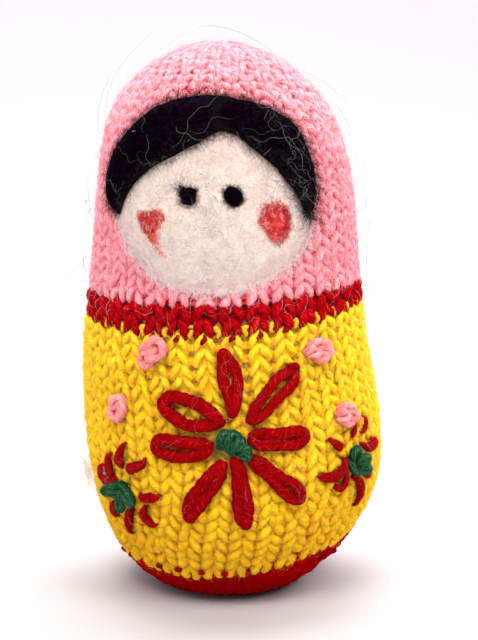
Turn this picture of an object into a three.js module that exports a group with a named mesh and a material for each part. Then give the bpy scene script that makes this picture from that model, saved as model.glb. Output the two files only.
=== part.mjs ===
// Knitted, stuffed matryoshka doll: four knitted shells of wool yarn over a fibre filling,
// a needle-felted face with hair, eyes and cheeks, and embroidery in thick yarn on the body.
// Units are millimetres, +Z is up, the face looks along -Y, the origin is the centre of the rest face.
import * as THREE from 'three';

// ---- driving dimensions ------------------------------------------------------------------
const FABRIC = 2.2;          // thickness of the knitted fabric
const GAP = 0.3;             // clearance between touching pieces
const LATHE_STEPS = 32;      // facets round the doll
const BASE_EDGE = 7.5;       // height where the yellow body meets the red base, at the front
const BAND_LOW = 60.6;       // lower edge of the neck band, at the front
const BAND_HIGH = 67.1;      // upper edge of the neck band, at the front
const FACE_THICK = 2.4;      // crown of the felted face over the hood
const HAIR_THICK = 1.9;      // crown of the felted hair over the hood
const PETAL_THICK = 1.9;     // height of the large embroidered loops
const STITCH_THICK = 1.3;    // height of the small straight stitches
const STITCH_WIDE = 1.8;     // width of the small straight stitches
const KNOT_THICK = 2.7;      // height of the coiled pink knots
const CENTRE_THICK = 2.6;    // height of the green flower centres

// Outside radius of the doll by height: [height, radius]
const PROFILE = [
  [0, 12.5], [0.5, 14.6], [1.5, 16.8], [3, 19.0], [4.8, 21.1], [6.7, 22.9], [8.6, 24.5],
  [10.5, 25.85], [12.4, 27.05], [14.2, 28.05], [18, 29.85], [21.7, 31.15], [25.4, 32.05],
  [29.1, 32.6], [33, 32.85], [36.5, 32.9], [40, 32.85], [44, 32.65], [47.5, 32.4], [51, 32.05],
  [54.7, 31.65], [58.3, 31.25], [62, 30.85], [65.5, 30.35], [69, 29.95], [73, 29.5], [76.5, 29.2],
  [80, 28.95], [83.5, 28.65], [87, 28.3], [90.5, 27.9], [94, 27.35], [97.5, 26.65], [101, 25.75],
  [104.5, 24.45], [108, 22.55], [111.2, 20.1], [114.4, 16.6], [117, 12.6], [119, 8.0],
  [120.2, 4.0], [120.7, 0],
];
// Sideways drift of the doll's centre line by height
const LEAN = [
  [0, 0], [6, 0.05], [14, 0.9], [24, 1.65], [32, 1.45], [40, 0.7], [48, 0], [56, -0.7],
  [70, -0.65], [90, -0.65], [100, -1.1], [110, -1.8], [121, -2.0],
];
// The knitted rounds climb towards +X: height added is SLOPE * sin(angle) + SWELL * sin(angle)^2
const SLOPE = [[0, 0], [1.5, 0], [7.5, 3.3], [25, 2.6], [61, 1.7], [67, 1.2], [85, 0.4], [98, 0]];
const SWELL = [[0, 0], [1.5, 0], [7.5, 4.2], [25, 3.4], [61, 2.4], [67, 1.6], [85, 0.5], [98, 0]];

// ---- the doll's outer skin ---------------------------------------------------------------
function table(rows, at) {
  if (at <= rows[0][0]) return rows[0][1];
  for (let i = 1; i < rows.length; i++) {
    if (at <= rows[i][0]) {
      const [z0, v0] = rows[i - 1];
      const [z1, v1] = rows[i];
      return v0 + ((v1 - v0) * (at - z0)) / (z1 - z0);
    }
  }
  return rows[rows.length - 1][1];
}
const radiusAt = (z) => table(PROFILE, z);
const leanAt = (z) => table(LEAN, z);

// A point on the skin: angle in degrees from the front towards +X, height, distance off the skin
function onSkin(angle, z, lift) {
  const t = THREE.MathUtils.degToRad(angle);
  const slope = (radiusAt(z + 1.2) - radiusAt(z - 1.2)) / 2.4;
  const n = 1 / Math.hypot(1, slope);
  const r = radiusAt(z) + lift * n;
  const h = z - lift * slope * n;
  return new THREE.Vector3(leanAt(h) + r * Math.sin(t), -r * Math.cos(t), h);
}

// Turns a lathe standing on +Y upright, then makes its rounds climb and its centre line drift
function settle(geometry) {
  geometry.rotateX(Math.PI / 2);
  const p = geometry.attributes.position;
  for (let i = 0; i < p.count; i++) {
    const x = p.getX(i);
    const y = p.getY(i);
    const z = p.getZ(i);
    const r = Math.hypot(x, y);
    const s = r > 1e-6 ? x / r : 0;
    const c = r > 1e-6 ? y / r : 0;
    const climbed = z + table(SLOPE, z) * s + table(SWELL, z) * s * s;
    const wide = Math.abs(climbed - z) > 1e-9 ? r + radiusAt(climbed) - radiusAt(z) : r;
    p.setXYZ(i, leanAt(climbed) + wide * s, wide * c, climbed);
  }
  geometry.deleteAttribute('normal');
  geometry.deleteAttribute('uv');
  geometry.computeVertexNormals();
  return geometry;
}

// Profile points offset inwards by a distance, for the heights given
function inside(heights, depth) {
  return heights.map((z) => {
    const slope = (radiusAt(z + 0.6) - radiusAt(z - 0.6)) / 1.2;
    return new THREE.Vector2(radiusAt(z) - depth * Math.hypot(1, slope), z);
  });
}
const outside = (heights) => heights.map((z) => new THREE.Vector2(radiusAt(z), z));

// ---- materials ---------------------------------------------------------------------------
const yarn = (color) => new THREE.MeshStandardMaterial({ color, roughness: 0.92, metalness: 0 });
const felt = (color) => new THREE.MeshStandardMaterial({ color, roughness: 0.98, metalness: 0 });
const PINK = 0xf78b97;
const RED = 0xab0719;
const YELLOW = 0xf5c115;
const GREEN = 0x1f6a47;
const CREAM = 0xeadccf;
const BLACK = 0x140d14;
const CORAL = 0xd9605a;
const FIBRE = 0xcaa684;

const doll = new THREE.Group();
function add(name, geometry, material) {
  const mesh = new THREE.Mesh(geometry, material);
  mesh.name = name;
  doll.add(mesh);
  return mesh;
}
const lathe = (points) => settle(new THREE.LatheGeometry(points, LATHE_STEPS));

// ---- knitted shells ----------------------------------------------------------------------
// A sleeve between two heights, open at both ends
function sleeve(low, high, steps) {
  const heights = [];
  for (let i = 0; i <= steps; i++) heights.push(low + ((high - low) * i) / steps);
  const out = outside(heights);
  const back = inside(heights, FABRIC).reverse();
  return lathe([...out, ...back, out[0].clone()]);
}
add('body_shell', sleeve(BASE_EDGE + GAP / 2 + 0.05, BAND_LOW - GAP / 2, 9), yarn(YELLOW));
add('neck_band', sleeve(BAND_LOW + GAP / 2, BAND_HIGH - GAP / 2, 2), yarn(RED));

// The hood is a sleeve that closes over the crown
const hoodLow = BAND_HIGH + GAP / 2;
const hoodSide = [hoodLow, 75, 84, 92, 98, 103, 107.5, 111.2, 114.4, 117, 119, 120.2];
const crown = new THREE.Vector2(0, 120.7);
const hoodInner = inside([hoodLow, 75, 84, 92, 98, 103, 107.5], FABRIC);
hoodInner.push(new THREE.Vector2(19.3, 109.6), new THREE.Vector2(15.6, 112.9),
  new THREE.Vector2(11.6, 115.3), new THREE.Vector2(6.6, 117.4), new THREE.Vector2(0, 118.3));
add('hood_shell', lathe([...hoodInner.slice().reverse(), ...outside(hoodSide), crown]), yarn(PINK));

// The base is a shallow dish with a flat rest face
const baseHigh = BASE_EDGE - GAP / 2 - 0.05;
const baseOut = outside([0, 0.5, 1.5, 3, 4.8, 6.2, baseHigh]);
const baseIn = [new THREE.Vector2(radiusAt(baseHigh) - FABRIC * 1.3, baseHigh),
  new THREE.Vector2(18.6, 5.2), new THREE.Vector2(16.2, 3.6), new THREE.Vector2(12.4, FABRIC),
  new THREE.Vector2(0, FABRIC)];
add('base_cap', lathe([new THREE.Vector2(0, 0), ...baseOut, ...baseIn]), yarn(RED));

// The filling fits the inside of the four shells with the clearance all round
const coreSide = inside([12.4, 18, 25.4, 36.5, 47.5, 58.3, 65.5, 76.5, 87, 97.5, 103, 107.5],
  FABRIC + GAP);
const core = [new THREE.Vector2(0, FABRIC + GAP), new THREE.Vector2(12.0, FABRIC + GAP + 0.1),
  new THREE.Vector2(16.2, 4.4), new THREE.Vector2(19.6, 8.0), ...coreSide,
  new THREE.Vector2(18.9, 109.3), new THREE.Vector2(15.2, 112.6), new THREE.Vector2(11.2, 114.9),
  new THREE.Vector2(6.4, 116.9), new THREE.Vector2(0, 117.9)];
add('stuffing_core', lathe(core), felt(FIBRE));

// ---- felted and embroidered pads ---------------------------------------------------------
// A round pad: the sphere's lower half lies along the skin and its upper half is the crown.
// reach(a) is the outline's distance from the centre in mm, a in degrees anticlockwise from +X.
function pad(angle, z, reach, thick, under, steps = 12, rings = 6) {
  const geometry = new THREE.SphereGeometry(1, steps, rings);
  geometry.rotateX(Math.PI / 2);
  const p = geometry.attributes.position;
  const perDegree = (radiusAt(z) * Math.PI) / 180;
  for (let i = 0; i < p.count; i++) {
    const x = p.getX(i);
    const y = p.getY(i);
    const up = p.getZ(i);
    const far = Math.hypot(x, y);
    const a = THREE.MathUtils.radToDeg(Math.atan2(y, x));
    const out = far * reach(a);
    const du = far > 1e-9 ? (out * x) / far : 0;
    const dv = far > 1e-9 ? (out * y) / far : 0;
    const at = [angle + du / perDegree, z + dv];
    const floor = under(at[0], at[1]) + GAP;
    const q = onSkin(at[0], at[1], floor + (up > 0 ? thick * up : 0));
    p.setXYZ(i, q.x, q.y, q.z);
  }
  geometry.deleteAttribute('normal');
  geometry.deleteAttribute('uv');
  geometry.computeVertexNormals();
  return geometry;
}
const skin = () => 0;

// A strip pad between two edges: edges(s) gives [[angle, z], [angle, z]] for s from 0 to 1
function strip(edges, thick, under, along = 8, round = 6) {
  const geometry = new THREE.SphereGeometry(1, round, along);
  const p = geometry.attributes.position;
  for (let i = 0; i < p.count; i++) {
    const s = Math.acos(THREE.MathUtils.clamp(p.getY(i), -1, 1)) / Math.PI;
    const far = Math.hypot(p.getX(i), p.getZ(i));
    const across = far > 1e-6 ? p.getX(i) / far : 0;
    const up = far > 1e-6 ? p.getZ(i) / far : 0;
    const [a, b] = edges(s);
    const t = (across + 1) / 2;
    const taper = Math.pow(Math.sin(Math.PI * s), 0.4);
    const angle = a[0] + (b[0] - a[0]) * t;
    const z = a[1] + (b[1] - a[1]) * t;
    const lift = under(angle, z) + GAP + (up > 0 ? thick * up * taper : 0);
    const q = onSkin(angle, z, lift);
    p.setXYZ(i, q.x, q.y, q.z);
  }
  geometry.deleteAttribute('normal');
  geometry.deleteAttribute('uv');
  geometry.computeVertexNormals();
  return geometry;
}

// A straight stitch or petal from one point to another, widest where the bulge says
function stitch(from, to, wide, thick, bulge = 0.5) {
  const perDegree = (radiusAt((from[1] + to[1]) / 2) * Math.PI) / 180;
  const du = (to[0] - from[0]) * perDegree;
  const dv = to[1] - from[1];
  const length = Math.hypot(du, dv);
  const side = [(dv / length) / perDegree, -du / length];
  return strip((s) => {
    const swell = Math.pow(Math.sin(Math.PI * Math.pow(s, Math.log(0.5) / Math.log(bulge))), 0.55);
    const half = (wide / 2) * Math.max(swell, 0);
    const at = [from[0] + (to[0] - from[0]) * s, from[1] + (to[1] - from[1]) * s];
    return [
      [at[0] + side[0] * half, at[1] + side[1] * half],
      [at[0] - side[0] * half, at[1] - side[1] * half],
    ];
  }, thick, skin);
}

// ---- felted face -------------------------------------------------------------------------
const FACE_AT = [-5, 85];
// The face outline as [angle, height] on the hood, anticlockwise from the right
const FACE_EDGE = [
  [36.0, 82.5], [35.4, 85.2], [31.2, 88.3], [23.4, 92.4], [16.0, 96.2], [8.8, 100.0], [1.8, 101.4],
  [-3.1, 100.7], [-14.4, 97.6], [-28.2, 94.5], [-40.0, 90.9], [-46.6, 85.5], [-46.7, 82.2],
  [-40.8, 78.3], [-29.5, 73.9], [-16.7, 71.0], [-3.3, 70.2], [7.9, 70.5], [19.6, 72.4], [30.6, 75.9],
];
function outline(points, centre) {
  const perDegree = (radiusAt(centre[1]) * Math.PI) / 180;
  const polar = points.map(([angle, z]) => {
    const du = (angle - centre[0]) * perDegree;
    const dv = z - centre[1];
    return [(THREE.MathUtils.radToDeg(Math.atan2(dv, du)) + 360) % 360, Math.hypot(du, dv)];
  }).sort((p, q) => p[0] - q[0]);
  return (a) => {
    const at = ((a % 360) + 360) % 360;
    let low = polar[polar.length - 1];
    let high = polar[0];
    for (let i = 0; i < polar.length; i++) {
      if (polar[i][0] > at) { high = polar[i]; low = polar[(i + polar.length - 1) % polar.length]; break; }
      if (i === polar.length - 1) { low = polar[i]; high = polar[0]; }
    }
    const span = (high[0] - low[0] + 360) % 360 || 360;
    const t = ((at - low[0] + 360) % 360) / span;
    return low[1] + (high[1] - low[1]) * t;
  };
}
const faceReach = outline(FACE_EDGE, FACE_AT);
add('felt_face', pad(FACE_AT[0], FACE_AT[1], faceReach, FACE_THICK, skin, 28, 8), felt(CREAM));
const onFace = (angle, z) => {
  const perDegree = (radiusAt(FACE_AT[1]) * Math.PI) / 180;
  const du = (angle - FACE_AT[0]) * perDegree;
  const dv = z - FACE_AT[1];
  const far = Math.hypot(du, dv) / faceReach(THREE.MathUtils.radToDeg(Math.atan2(dv, du)));
  return GAP + FACE_THICK * Math.sqrt(Math.max(0, 1 - far * far));
};

// The hair is one crescent with two sweeps that part over the middle of the face
const HAIR = [
  [[-53.0, 83.2], [-52.6, 83.2]], [[-57.6, 88.0], [-50.2, 85.8]], [[-57.0, 93.0], [-46.0, 89.2]],
  [[-53.5, 98.5], [-39.6, 92.6]], [[-46.9, 102.5], [-31.9, 95.1]], [[-36.0, 105.8], [-23.2, 97.1]],
  [[-24.0, 107.8], [-14.9, 99.1]], [[-10.0, 108.9], [-6.2, 101.6]], [[2.0, 109.0], [1.8, 103.2]],
  [[12.0, 108.2], [9.6, 101.8]], [[25.3, 106.6], [17.4, 98.0]], [[33.8, 104.6], [23.0, 95.0]],
  [[39.0, 99.5], [28.6, 92.0]], [[41.3, 94.0], [33.2, 89.6]], [[41.7, 88.9], [37.4, 86.4]],
  [[40.0, 84.0], [39.6, 84.0]],
];
add('felt_hair', strip((s) => {
  const at = Math.min(s * (HAIR.length - 1), HAIR.length - 1 - 1e-9);
  const i = Math.floor(at);
  const t = at - i;
  return [1, 0].map((edge) => [0, 1].map((k) => HAIR[i][edge][k]
    + (HAIR[i + 1][edge][k] - HAIR[i][edge][k]) * t));
}, HAIR_THICK, skin, 30, 6), felt(BLACK));

add('eye_left', pad(-13.7, 88.8, () => 2.1, 0.9, onFace, 10, 6), felt(BLACK));
add('eye_right', pad(3.9, 88.8, () => 2.1, 0.9, onFace, 10, 6), felt(BLACK));
add('cheek_left', pad(-29.6, 83.2, (a) => [3.0, 3.6, 2.2, 3.4, 3.4, 2.7, 3.9, 2.7][Math.round(a / 45 + 8) % 8],
  0.8, onFace, 12, 6), felt(CORAL));
add('cheek_right', pad(20.6, 83.4, (a) => [3.2, 3.9, 4.6, 3.9, 3.4, 3.7, 4.6, 3.8][Math.round(a / 45 + 8) % 8],
  0.8, onFace, 12, 6), felt(CORAL));

// ---- embroidery: [name, from, to, width] with points as [angle, height] -------------------
const PETALS = [
  ['petal_top', [1.7, 44.2], [-0.6, 57.6], 4.9],
  ['petal_upper_right', [7.2, 43.3], [26.9, 54.8], 4.0],
  ['petal_right', [8.0, 40.6], [29.0, 40.0], 4.6],
  ['petal_lower_right', [8.2, 35.4], [24.4, 25.2], 4.4],
  ['petal_bottom', [1.8, 34.4], [4.5, 20.3], 4.2],
  ['petal_lower_left', [-3.6, 34.6], [-16.6, 21.8], 4.4],
  ['petal_left', [-7.0, 38.2], [-29.8, 37.4], 4.6],
  ['petal_upper_left', [-3.4, 42.6], [-25.2, 47.0], 4.6],
];
for (const [name, from, to, wide] of PETALS) {
  add(name, stitch(from, to, wide, PETAL_THICK, 0.6), yarn(RED));
}
add('flower_centre', stitch([-5.4, 41.2], [6.8, 36.9], 5.0, CENTRE_THICK), yarn(GREEN));

const KNOTS = [
  ['knot_upper_left', -26.9, 57.0], ['knot_upper_right', 36.9, 56.9],
  ['knot_lower_left', -43.3, 44.2], ['knot_lower_right', 45.8, 43.1],
];
for (const [name, angle, z] of KNOTS) {
  add(name, pad(angle, z, () => 3.2, KNOT_THICK, skin, 10, 6), yarn(PINK));
}

const SMALL_LEFT = [
  [[-43.0, 36.5], [-48.0, 31.4]], [[-54.2, 33.6], [-52.6, 30.2]], [[-43.2, 30.9], [-34.1, 33.9]],
  [[-61.6, 30.4], [-57.4, 28.0]], [[-37.8, 25.6], [-30.5, 25.9]], [[-37.6, 22.5], [-32.1, 19.2]],
  [[-44.4, 20.8], [-47.2, 15.6]], [[-57.0, 20.6], [-54.0, 18.4]],
];
SMALL_LEFT.forEach(([from, to], i) => {
  add(`stitch_left_${i + 1}`, stitch(from, to, STITCH_WIDE, STITCH_THICK), yarn(RED));
});
add('small_centre_left', pad(-49.7, 24.8, (a) => [4.4, 3.0, 2.8, 3.4, 4.8, 2.4, 3.0, 3.6][Math.round(a / 45 + 8) % 8],
  CENTRE_THICK, skin, 12, 6), yarn(GREEN));

const SMALL_RIGHT = [
  [[37.6, 38.0], [43.6, 35.6]], [[53.8, 40.7], [50.4, 37.9]], [[60.9, 41.0], [56.8, 38.3]],
  [[60.0, 35.6], [69.6, 35.0]], [[32.8, 30.2], [43.0, 32.4]], [[44.6, 30.0], [41.2, 25.6]],
  [[51.0, 27.9], [56.0, 21.5]], [[58.8, 27.4], [64.4, 27.6]],
];
SMALL_RIGHT.forEach(([from, to], i) => {
  add(`stitch_right_${i + 1}`, stitch(from, to, STITCH_WIDE, STITCH_THICK), yarn(RED));
});
add('small_centre_right', pad(52.4, 32.2, (a) => [3.4, 3.0, 3.0, 3.2, 3.2, 2.6, 3.2, 2.9][Math.round(a / 45 + 8) % 8],
  CENTRE_THICK, skin, 12, 6), yarn(GREEN));

export default doll;
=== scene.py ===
import math

import bpy
import numpy as np
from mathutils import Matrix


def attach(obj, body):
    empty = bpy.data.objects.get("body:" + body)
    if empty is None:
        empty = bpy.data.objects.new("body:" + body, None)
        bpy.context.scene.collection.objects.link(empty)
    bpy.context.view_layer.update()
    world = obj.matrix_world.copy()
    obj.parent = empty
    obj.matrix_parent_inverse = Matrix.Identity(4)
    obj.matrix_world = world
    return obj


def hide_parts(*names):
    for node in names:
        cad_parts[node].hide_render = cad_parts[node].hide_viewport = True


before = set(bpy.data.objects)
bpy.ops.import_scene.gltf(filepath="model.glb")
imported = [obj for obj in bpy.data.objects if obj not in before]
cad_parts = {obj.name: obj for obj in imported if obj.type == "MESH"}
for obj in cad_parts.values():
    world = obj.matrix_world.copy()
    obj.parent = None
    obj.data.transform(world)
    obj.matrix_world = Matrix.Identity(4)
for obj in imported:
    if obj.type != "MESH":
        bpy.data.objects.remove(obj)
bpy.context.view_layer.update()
MM = 0.001

# ------------------------------------------------------------------ driving dimensions, in mm
PROFILE = [
    (0, 12.5), (0.5, 14.6), (1.5, 16.8), (3, 19.0), (4.8, 21.1), (6.7, 22.9), (8.6, 24.5),
    (10.5, 25.85), (12.4, 27.05), (14.2, 28.05), (18, 29.85), (21.7, 31.15), (25.4, 32.05),
    (29.1, 32.6), (33, 32.85), (36.5, 32.9), (40, 32.85), (44, 32.65), (47.5, 32.4), (51, 32.05),
    (54.7, 31.65), (58.3, 31.25), (62, 30.85), (65.5, 30.35), (69, 29.95), (73, 29.5),
    (76.5, 29.2), (80, 28.95), (83.5, 28.65), (87, 28.3), (90.5, 27.9), (94, 27.35),
    (97.5, 26.65), (101, 25.75), (104.5, 24.45), (108, 22.55), (111.2, 20.1), (114.4, 16.6),
    (117, 12.6), (119, 8.0), (120.2, 4.0), (120.7, 0)]
LEAN = np.array([
    (0, 0), (6, 0.05), (14, 0.9), (24, 1.65), (32, 1.45), (40, 0.7), (48, 0), (56, -0.7),
    (70, -0.65), (90, -0.65), (100, -1.1), (110, -1.8), (121, -2.0)], float)
SLOPE = np.array([(0, 0), (1.5, 0), (7.5, 3.3), (25, 2.6), (61, 1.7), (67, 1.2), (85, 0.4), (98, 0)], float)
SWELL = np.array([(0, 0), (1.5, 0), (7.5, 4.2), (25, 3.4), (61, 2.4), (67, 1.6), (85, 0.5), (98, 0)], float)
BASE_EDGE, BAND_LOW, BAND_HIGH = 7.5, 60.6, 66.7
YARN = 0.91              # half width of the knitting yarn as it lies in the fabric
FLAT = 0.78              # its thickness over its width


# ------------------------------------------------------------------ curves and noise
def catmull(points, per, closed=False):
    """Smooth points through the given ones, per points to a span."""
    p = np.asarray(points, float)
    n = len(p)
    if closed:
        i = np.arange(n)
        a, b, c, d = p[(i - 1) % n], p[i], p[(i + 1) % n], p[(i + 2) % n]
    else:
        q = np.vstack([2 * p[0] - p[1], p, 2 * p[-1] - p[-2]])
        a, b, c, d = q[:-3], q[1:-2], q[2:-1], q[3:]
    t = (np.arange(per) / per)[None, :, None]
    a, b, c, d = (x[:, None, :] for x in (a, b, c, d))
    out = 0.5 * (2 * b + (c - a) * t + (2 * a - 5 * b + 4 * c - d) * t**2
                 + (3 * b - a - 3 * c + d) * t**3)
    out = out.reshape(-1, p.shape[1])
    return out if closed else np.vstack([out, p[-1]])


def lattice(ix, iy, iz, seed):
    h = (ix * 374761393 + iy * 668265263 + iz * 1442695041 + seed * 974634777) & 0xFFFFFFFF
    h = ((h ^ (h >> 13)) * 1274126177) & 0xFFFFFFFF
    return ((h ^ (h >> 16)) & 0xFFFF) / 32767.5 - 1.0


def noise(p, size, seed=0):
    """Smooth value noise from -1 to 1 at points in mm, size in mm."""
    q = np.asarray(p, float) / size
    f = np.floor(q)
    t = q - f
    t = t * t * (3 - 2 * t)
    i = f.astype(np.int64)
    out = 0
    for dx in (0, 1):
        for dy in (0, 1):
            for dz in (0, 1):
                w = (np.where(dx, t[..., 0], 1 - t[..., 0]) * np.where(dy, t[..., 1], 1 - t[..., 1])
                     * np.where(dz, t[..., 2], 1 - t[..., 2]))
                out = out + w * lattice(i[..., 0] + dx, i[..., 1] + dy, i[..., 2] + dz, seed)
    return out


# ------------------------------------------------------------------ the doll's skin
_side = catmull([(r, z) for z, r in PROFILE], 8)
_line = np.vstack([np.stack([np.linspace(0, 12.5, 26)[:-1], np.zeros(25)], 1), _side])
_line[:, 0] = np.maximum(_line[:, 0], 0)
ARC = np.concatenate([[0], np.cumsum(np.hypot(*np.diff(_line, axis=0).T))])
_t = np.gradient(_line, ARC, axis=0)
_t /= np.linalg.norm(_t, axis=1)[:, None]
_nr, _nz = _t[:, 1].copy(), -_t[:, 0].copy()
for _ in range(6):
    _nr[1:-1] = (_nr[:-2] + 2 * _nr[1:-1] + _nr[2:]) / 4
    _nz[1:-1] = (_nz[:-2] + 2 * _nz[1:-1] + _nz[2:]) / 4
TOP = ARC[-1]


def arc_of(z):
    return np.interp(z, _line[25:, 1], ARC[25:])


def skin(theta, s, lift=0.0):
    """Points at angle theta from the front towards +X, arc length s from the base's middle."""
    r, z = np.interp(s, ARC, _line[:, 0]), np.interp(s, ARC, _line[:, 1])
    nr, nz = np.interp(s, ARC, _nr), np.interp(s, ARC, _nz)
    n = np.hypot(nr, nz)
    r, h = r + lift * nr / n, z + lift * nz / n
    x = np.interp(h, LEAN[:, 0], LEAN[:, 1])
    return np.stack([x + r * np.sin(theta), -r * np.cos(theta), h], -1)


def normal(theta, s):
    nr, nz = np.interp(s, ARC, _nr), np.interp(s, ARC, _nz)
    n = np.hypot(nr, nz)
    return np.stack([nr / n * np.sin(theta), -nr / n * np.cos(theta), nz / n + 0 * theta], -1)


def climb(theta, s):
    """The knitted rounds climb towards +X: arc length of a round that starts at s."""
    z = np.interp(s, ARC, _line[:, 1])
    rise = (np.interp(z, *SLOPE.T) * np.sin(theta) + np.interp(z, *SWELL.T) * np.sin(theta)**2)
    return np.where(np.abs(rise) < 1e-9, s, s + arc_of(z + rise) - arc_of(z))


def radius(s):
    return np.interp(s, ARC, _line[:, 0])


# ------------------------------------------------------------------ meshes
class Sheaf:
    """Collects tubes and grids of quads, then makes one mesh object of them."""

    def __init__(self):
        self.v, self.f, self.uv, self.bake, self.tone, self.n = [], [], [], [], [], 0
        self.spines = []

    def grid(self, points, closed_u, closed_v, uv, bake, tone):
        """points is (a, b, 3); rows run along u. uv and bake are (a+1 or a, b+1 or b, 2) corner values."""
        a, b = points.shape[:2]
        i = np.arange(a if closed_u else a - 1)
        j = np.arange(b if closed_v else b - 1)
        I, J = np.meshgrid(i, j, indexing="ij")
        I2, J2 = (I + 1) % a, (J + 1) % b
        quad = np.stack([I * b + J, I2 * b + J, I2 * b + J2, I * b + J2], -1).reshape(-1, 4)
        self.v.append(points.reshape(-1, 3))
        self.f.append(quad + self.n)
        self.n += a * b
        for store, g in ((self.uv, uv), (self.bake, bake)):
            store.append(np.stack([g[I, J], g[I + 1, J], g[I + 1, J + 1], g[I, J + 1]], 2).reshape(-1, 2))
        self.tone.append(np.broadcast_to(tone, (a, b)).reshape(-1))

    def tube(self, path, up, rad, sides=9, lobes=3, depth=0.12, turn=3.0, flat=1.0, closed=False,
             band=(0.0, 1.0), shade=0.0, ply_valley_shade=0.1, underside_shade_power=0.8):
        """A plied yarn along path. rad is one radius or one for each point, turn is mm to one twist."""
        path, up = np.asarray(path, float), np.asarray(up, float)
        n = len(path)
        if closed:
            t = np.roll(path, -1, 0) - np.roll(path, 1, 0)
            step = np.linalg.norm(np.roll(path, -1, 0) - path, axis=1)
        else:
            t = np.gradient(path, axis=0)
            step = np.linalg.norm(np.diff(path, axis=0), axis=1)
            step = np.append(step, step[-1])
        length = np.concatenate([[0], np.cumsum(step)])
        t /= np.maximum(np.linalg.norm(t, axis=1), 1e-9)[:, None]
        b = np.cross(t, up)
        b /= np.maximum(np.linalg.norm(b, axis=1), 1e-9)[:, None]
        u = np.cross(b, t)
        total = length[n if closed else n - 1]
        turns = total / turn
        if closed:
            turns = round(turns)
        roll = 2 * np.pi * turns * length[:n] / total
        self.spines.append((path, b, u, np.array(np.broadcast_to(rad, (n,)), float), closed, total / n, flat))
        phi = 2 * np.pi * np.arange(sides) / sides
        ridge = 1 - depth * np.cos(lobes * phi)
        ang = phi[None, :] + roll[:, None]
        rr = np.broadcast_to(rad, (n,))[:, None] * ridge[None, :]
        pts = (path[:, None] + (np.cos(ang) * rr)[..., None] * b[:, None]
               + (np.sin(ang) * rr * flat)[..., None] * u[:, None])
        m = n + 1 if closed else n
        lo, hi = band
        L = length[:m] if closed else length[:n]
        V = np.arange(sides + 1) / sides
        uv = np.stack(np.broadcast_arrays(L[:, None], V[None, :] * 5.0), -1)
        bake = np.stack(np.broadcast_arrays(0.002 + 0.996 * L[:, None] / total,
                                            lo + (hi - lo) * (0.04 + 0.92 * V[None, :])), -1)
        # painted shade: the tone is darker on the yarn's underside and flanks and in the valleys between its plies, and
        # the shade argument darkens a whole tube
        side = np.clip((np.sin(ang) + 0.30) / 1.15, 0, 1)
        tone = (1 - ply_valley_shade - ply_valley_shade * np.cos(lobes * phi)[None, :]) * side**underside_shade_power + shade
        self.grid(pts, closed, True, uv, bake, tone)
        if not closed:
            for end, k in ((0, 0), (n - 1, 1)):
                c = self.n
                base = self.n - n * sides + end * sides
                self.v.append(path[end][None])
                self.n += 1
                j = np.arange(sides)
                tri = np.stack([base + j, base + (j + 1) % sides, np.full(sides, c), np.full(sides, c)], 1)
                if k == 0:
                    tri = tri[:, [1, 0, 2, 3]]
                self.f.append(tri)
                flatuv = np.tile(np.array([[0.001 + 0.997 * k, lo]]), (sides * 4, 1))
                self.uv.append(np.zeros((sides * 4, 2)))
                self.bake.append(flatuv)
                self.tone.append(np.array([0.5 + shade]))

    def threads(self, paths, ups, rad, tones):
        """Many fine fibres at once: paths is (count, points, 3), three-sided and pointed."""
        N, M = paths.shape[:2]
        t = np.gradient(paths, axis=1)
        t /= np.maximum(np.linalg.norm(t, axis=2), 1e-9)[..., None]
        b = np.cross(t, ups)
        b /= np.maximum(np.linalg.norm(b, axis=2), 1e-9)[..., None]
        u = np.cross(b, t)
        taper = np.sin(np.linspace(0.12, 0.93, M) * np.pi)**0.5
        r = np.broadcast_to(rad, (N,))[:, None, None] * taper[None, :, None]
        phi = np.array([0, 2, 4]) * np.pi / 3
        ring = (paths[:, :, None] + (r * np.cos(phi))[..., None] * b[:, :, None]
                + (r * np.sin(phi))[..., None] * u[:, :, None])
        self.v.append(ring.reshape(-1, 3))
        base = self.n + (np.arange(N) * M * 3)[:, None, None]
        i, j = np.arange(M - 1)[None, :, None], np.arange(3)[None, None, :]
        k = (j + 1) % 3
        q = np.stack(np.broadcast_arrays(base + i * 3 + j, base + (i + 1) * 3 + j,
                                         base + (i + 1) * 3 + k, base + i * 3 + k), -1).reshape(-1, 4)
        caps = []
        for end in (0, M - 1):
            c = self.n + np.arange(N)[:, None] * M * 3 + end * 3 + np.array([[0, 1, 2, 2]] if end else [[2, 1, 0, 0]])
            caps.append(c)
        f = np.vstack([q] + caps)
        self.f.append(f)
        self.n += N * M * 3
        # each fibre takes one small cell of the bake map
        side = int(math.ceil(math.sqrt(N)))
        cell = np.arange(N)
        cu, cv = (cell % side + 0.5) / side, (cell // side + 0.5) / side
        per = (M - 1) * 3
        who = np.concatenate([np.repeat(cell, per), cell, cell])
        du = np.tile(np.array([[-.3, -.3], [.3, -.3], [.3, .3], [-.3, .3]]) / side, (len(f), 1))
        at = np.repeat(np.stack([cu, cv], 1)[who], 4, axis=0)
        self.uv.append(np.zeros((len(f) * 4, 2)))
        self.bake.append(at + du)
        self.tone.append(np.repeat(np.broadcast_to(tones, (N,)), M * 3))

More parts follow.
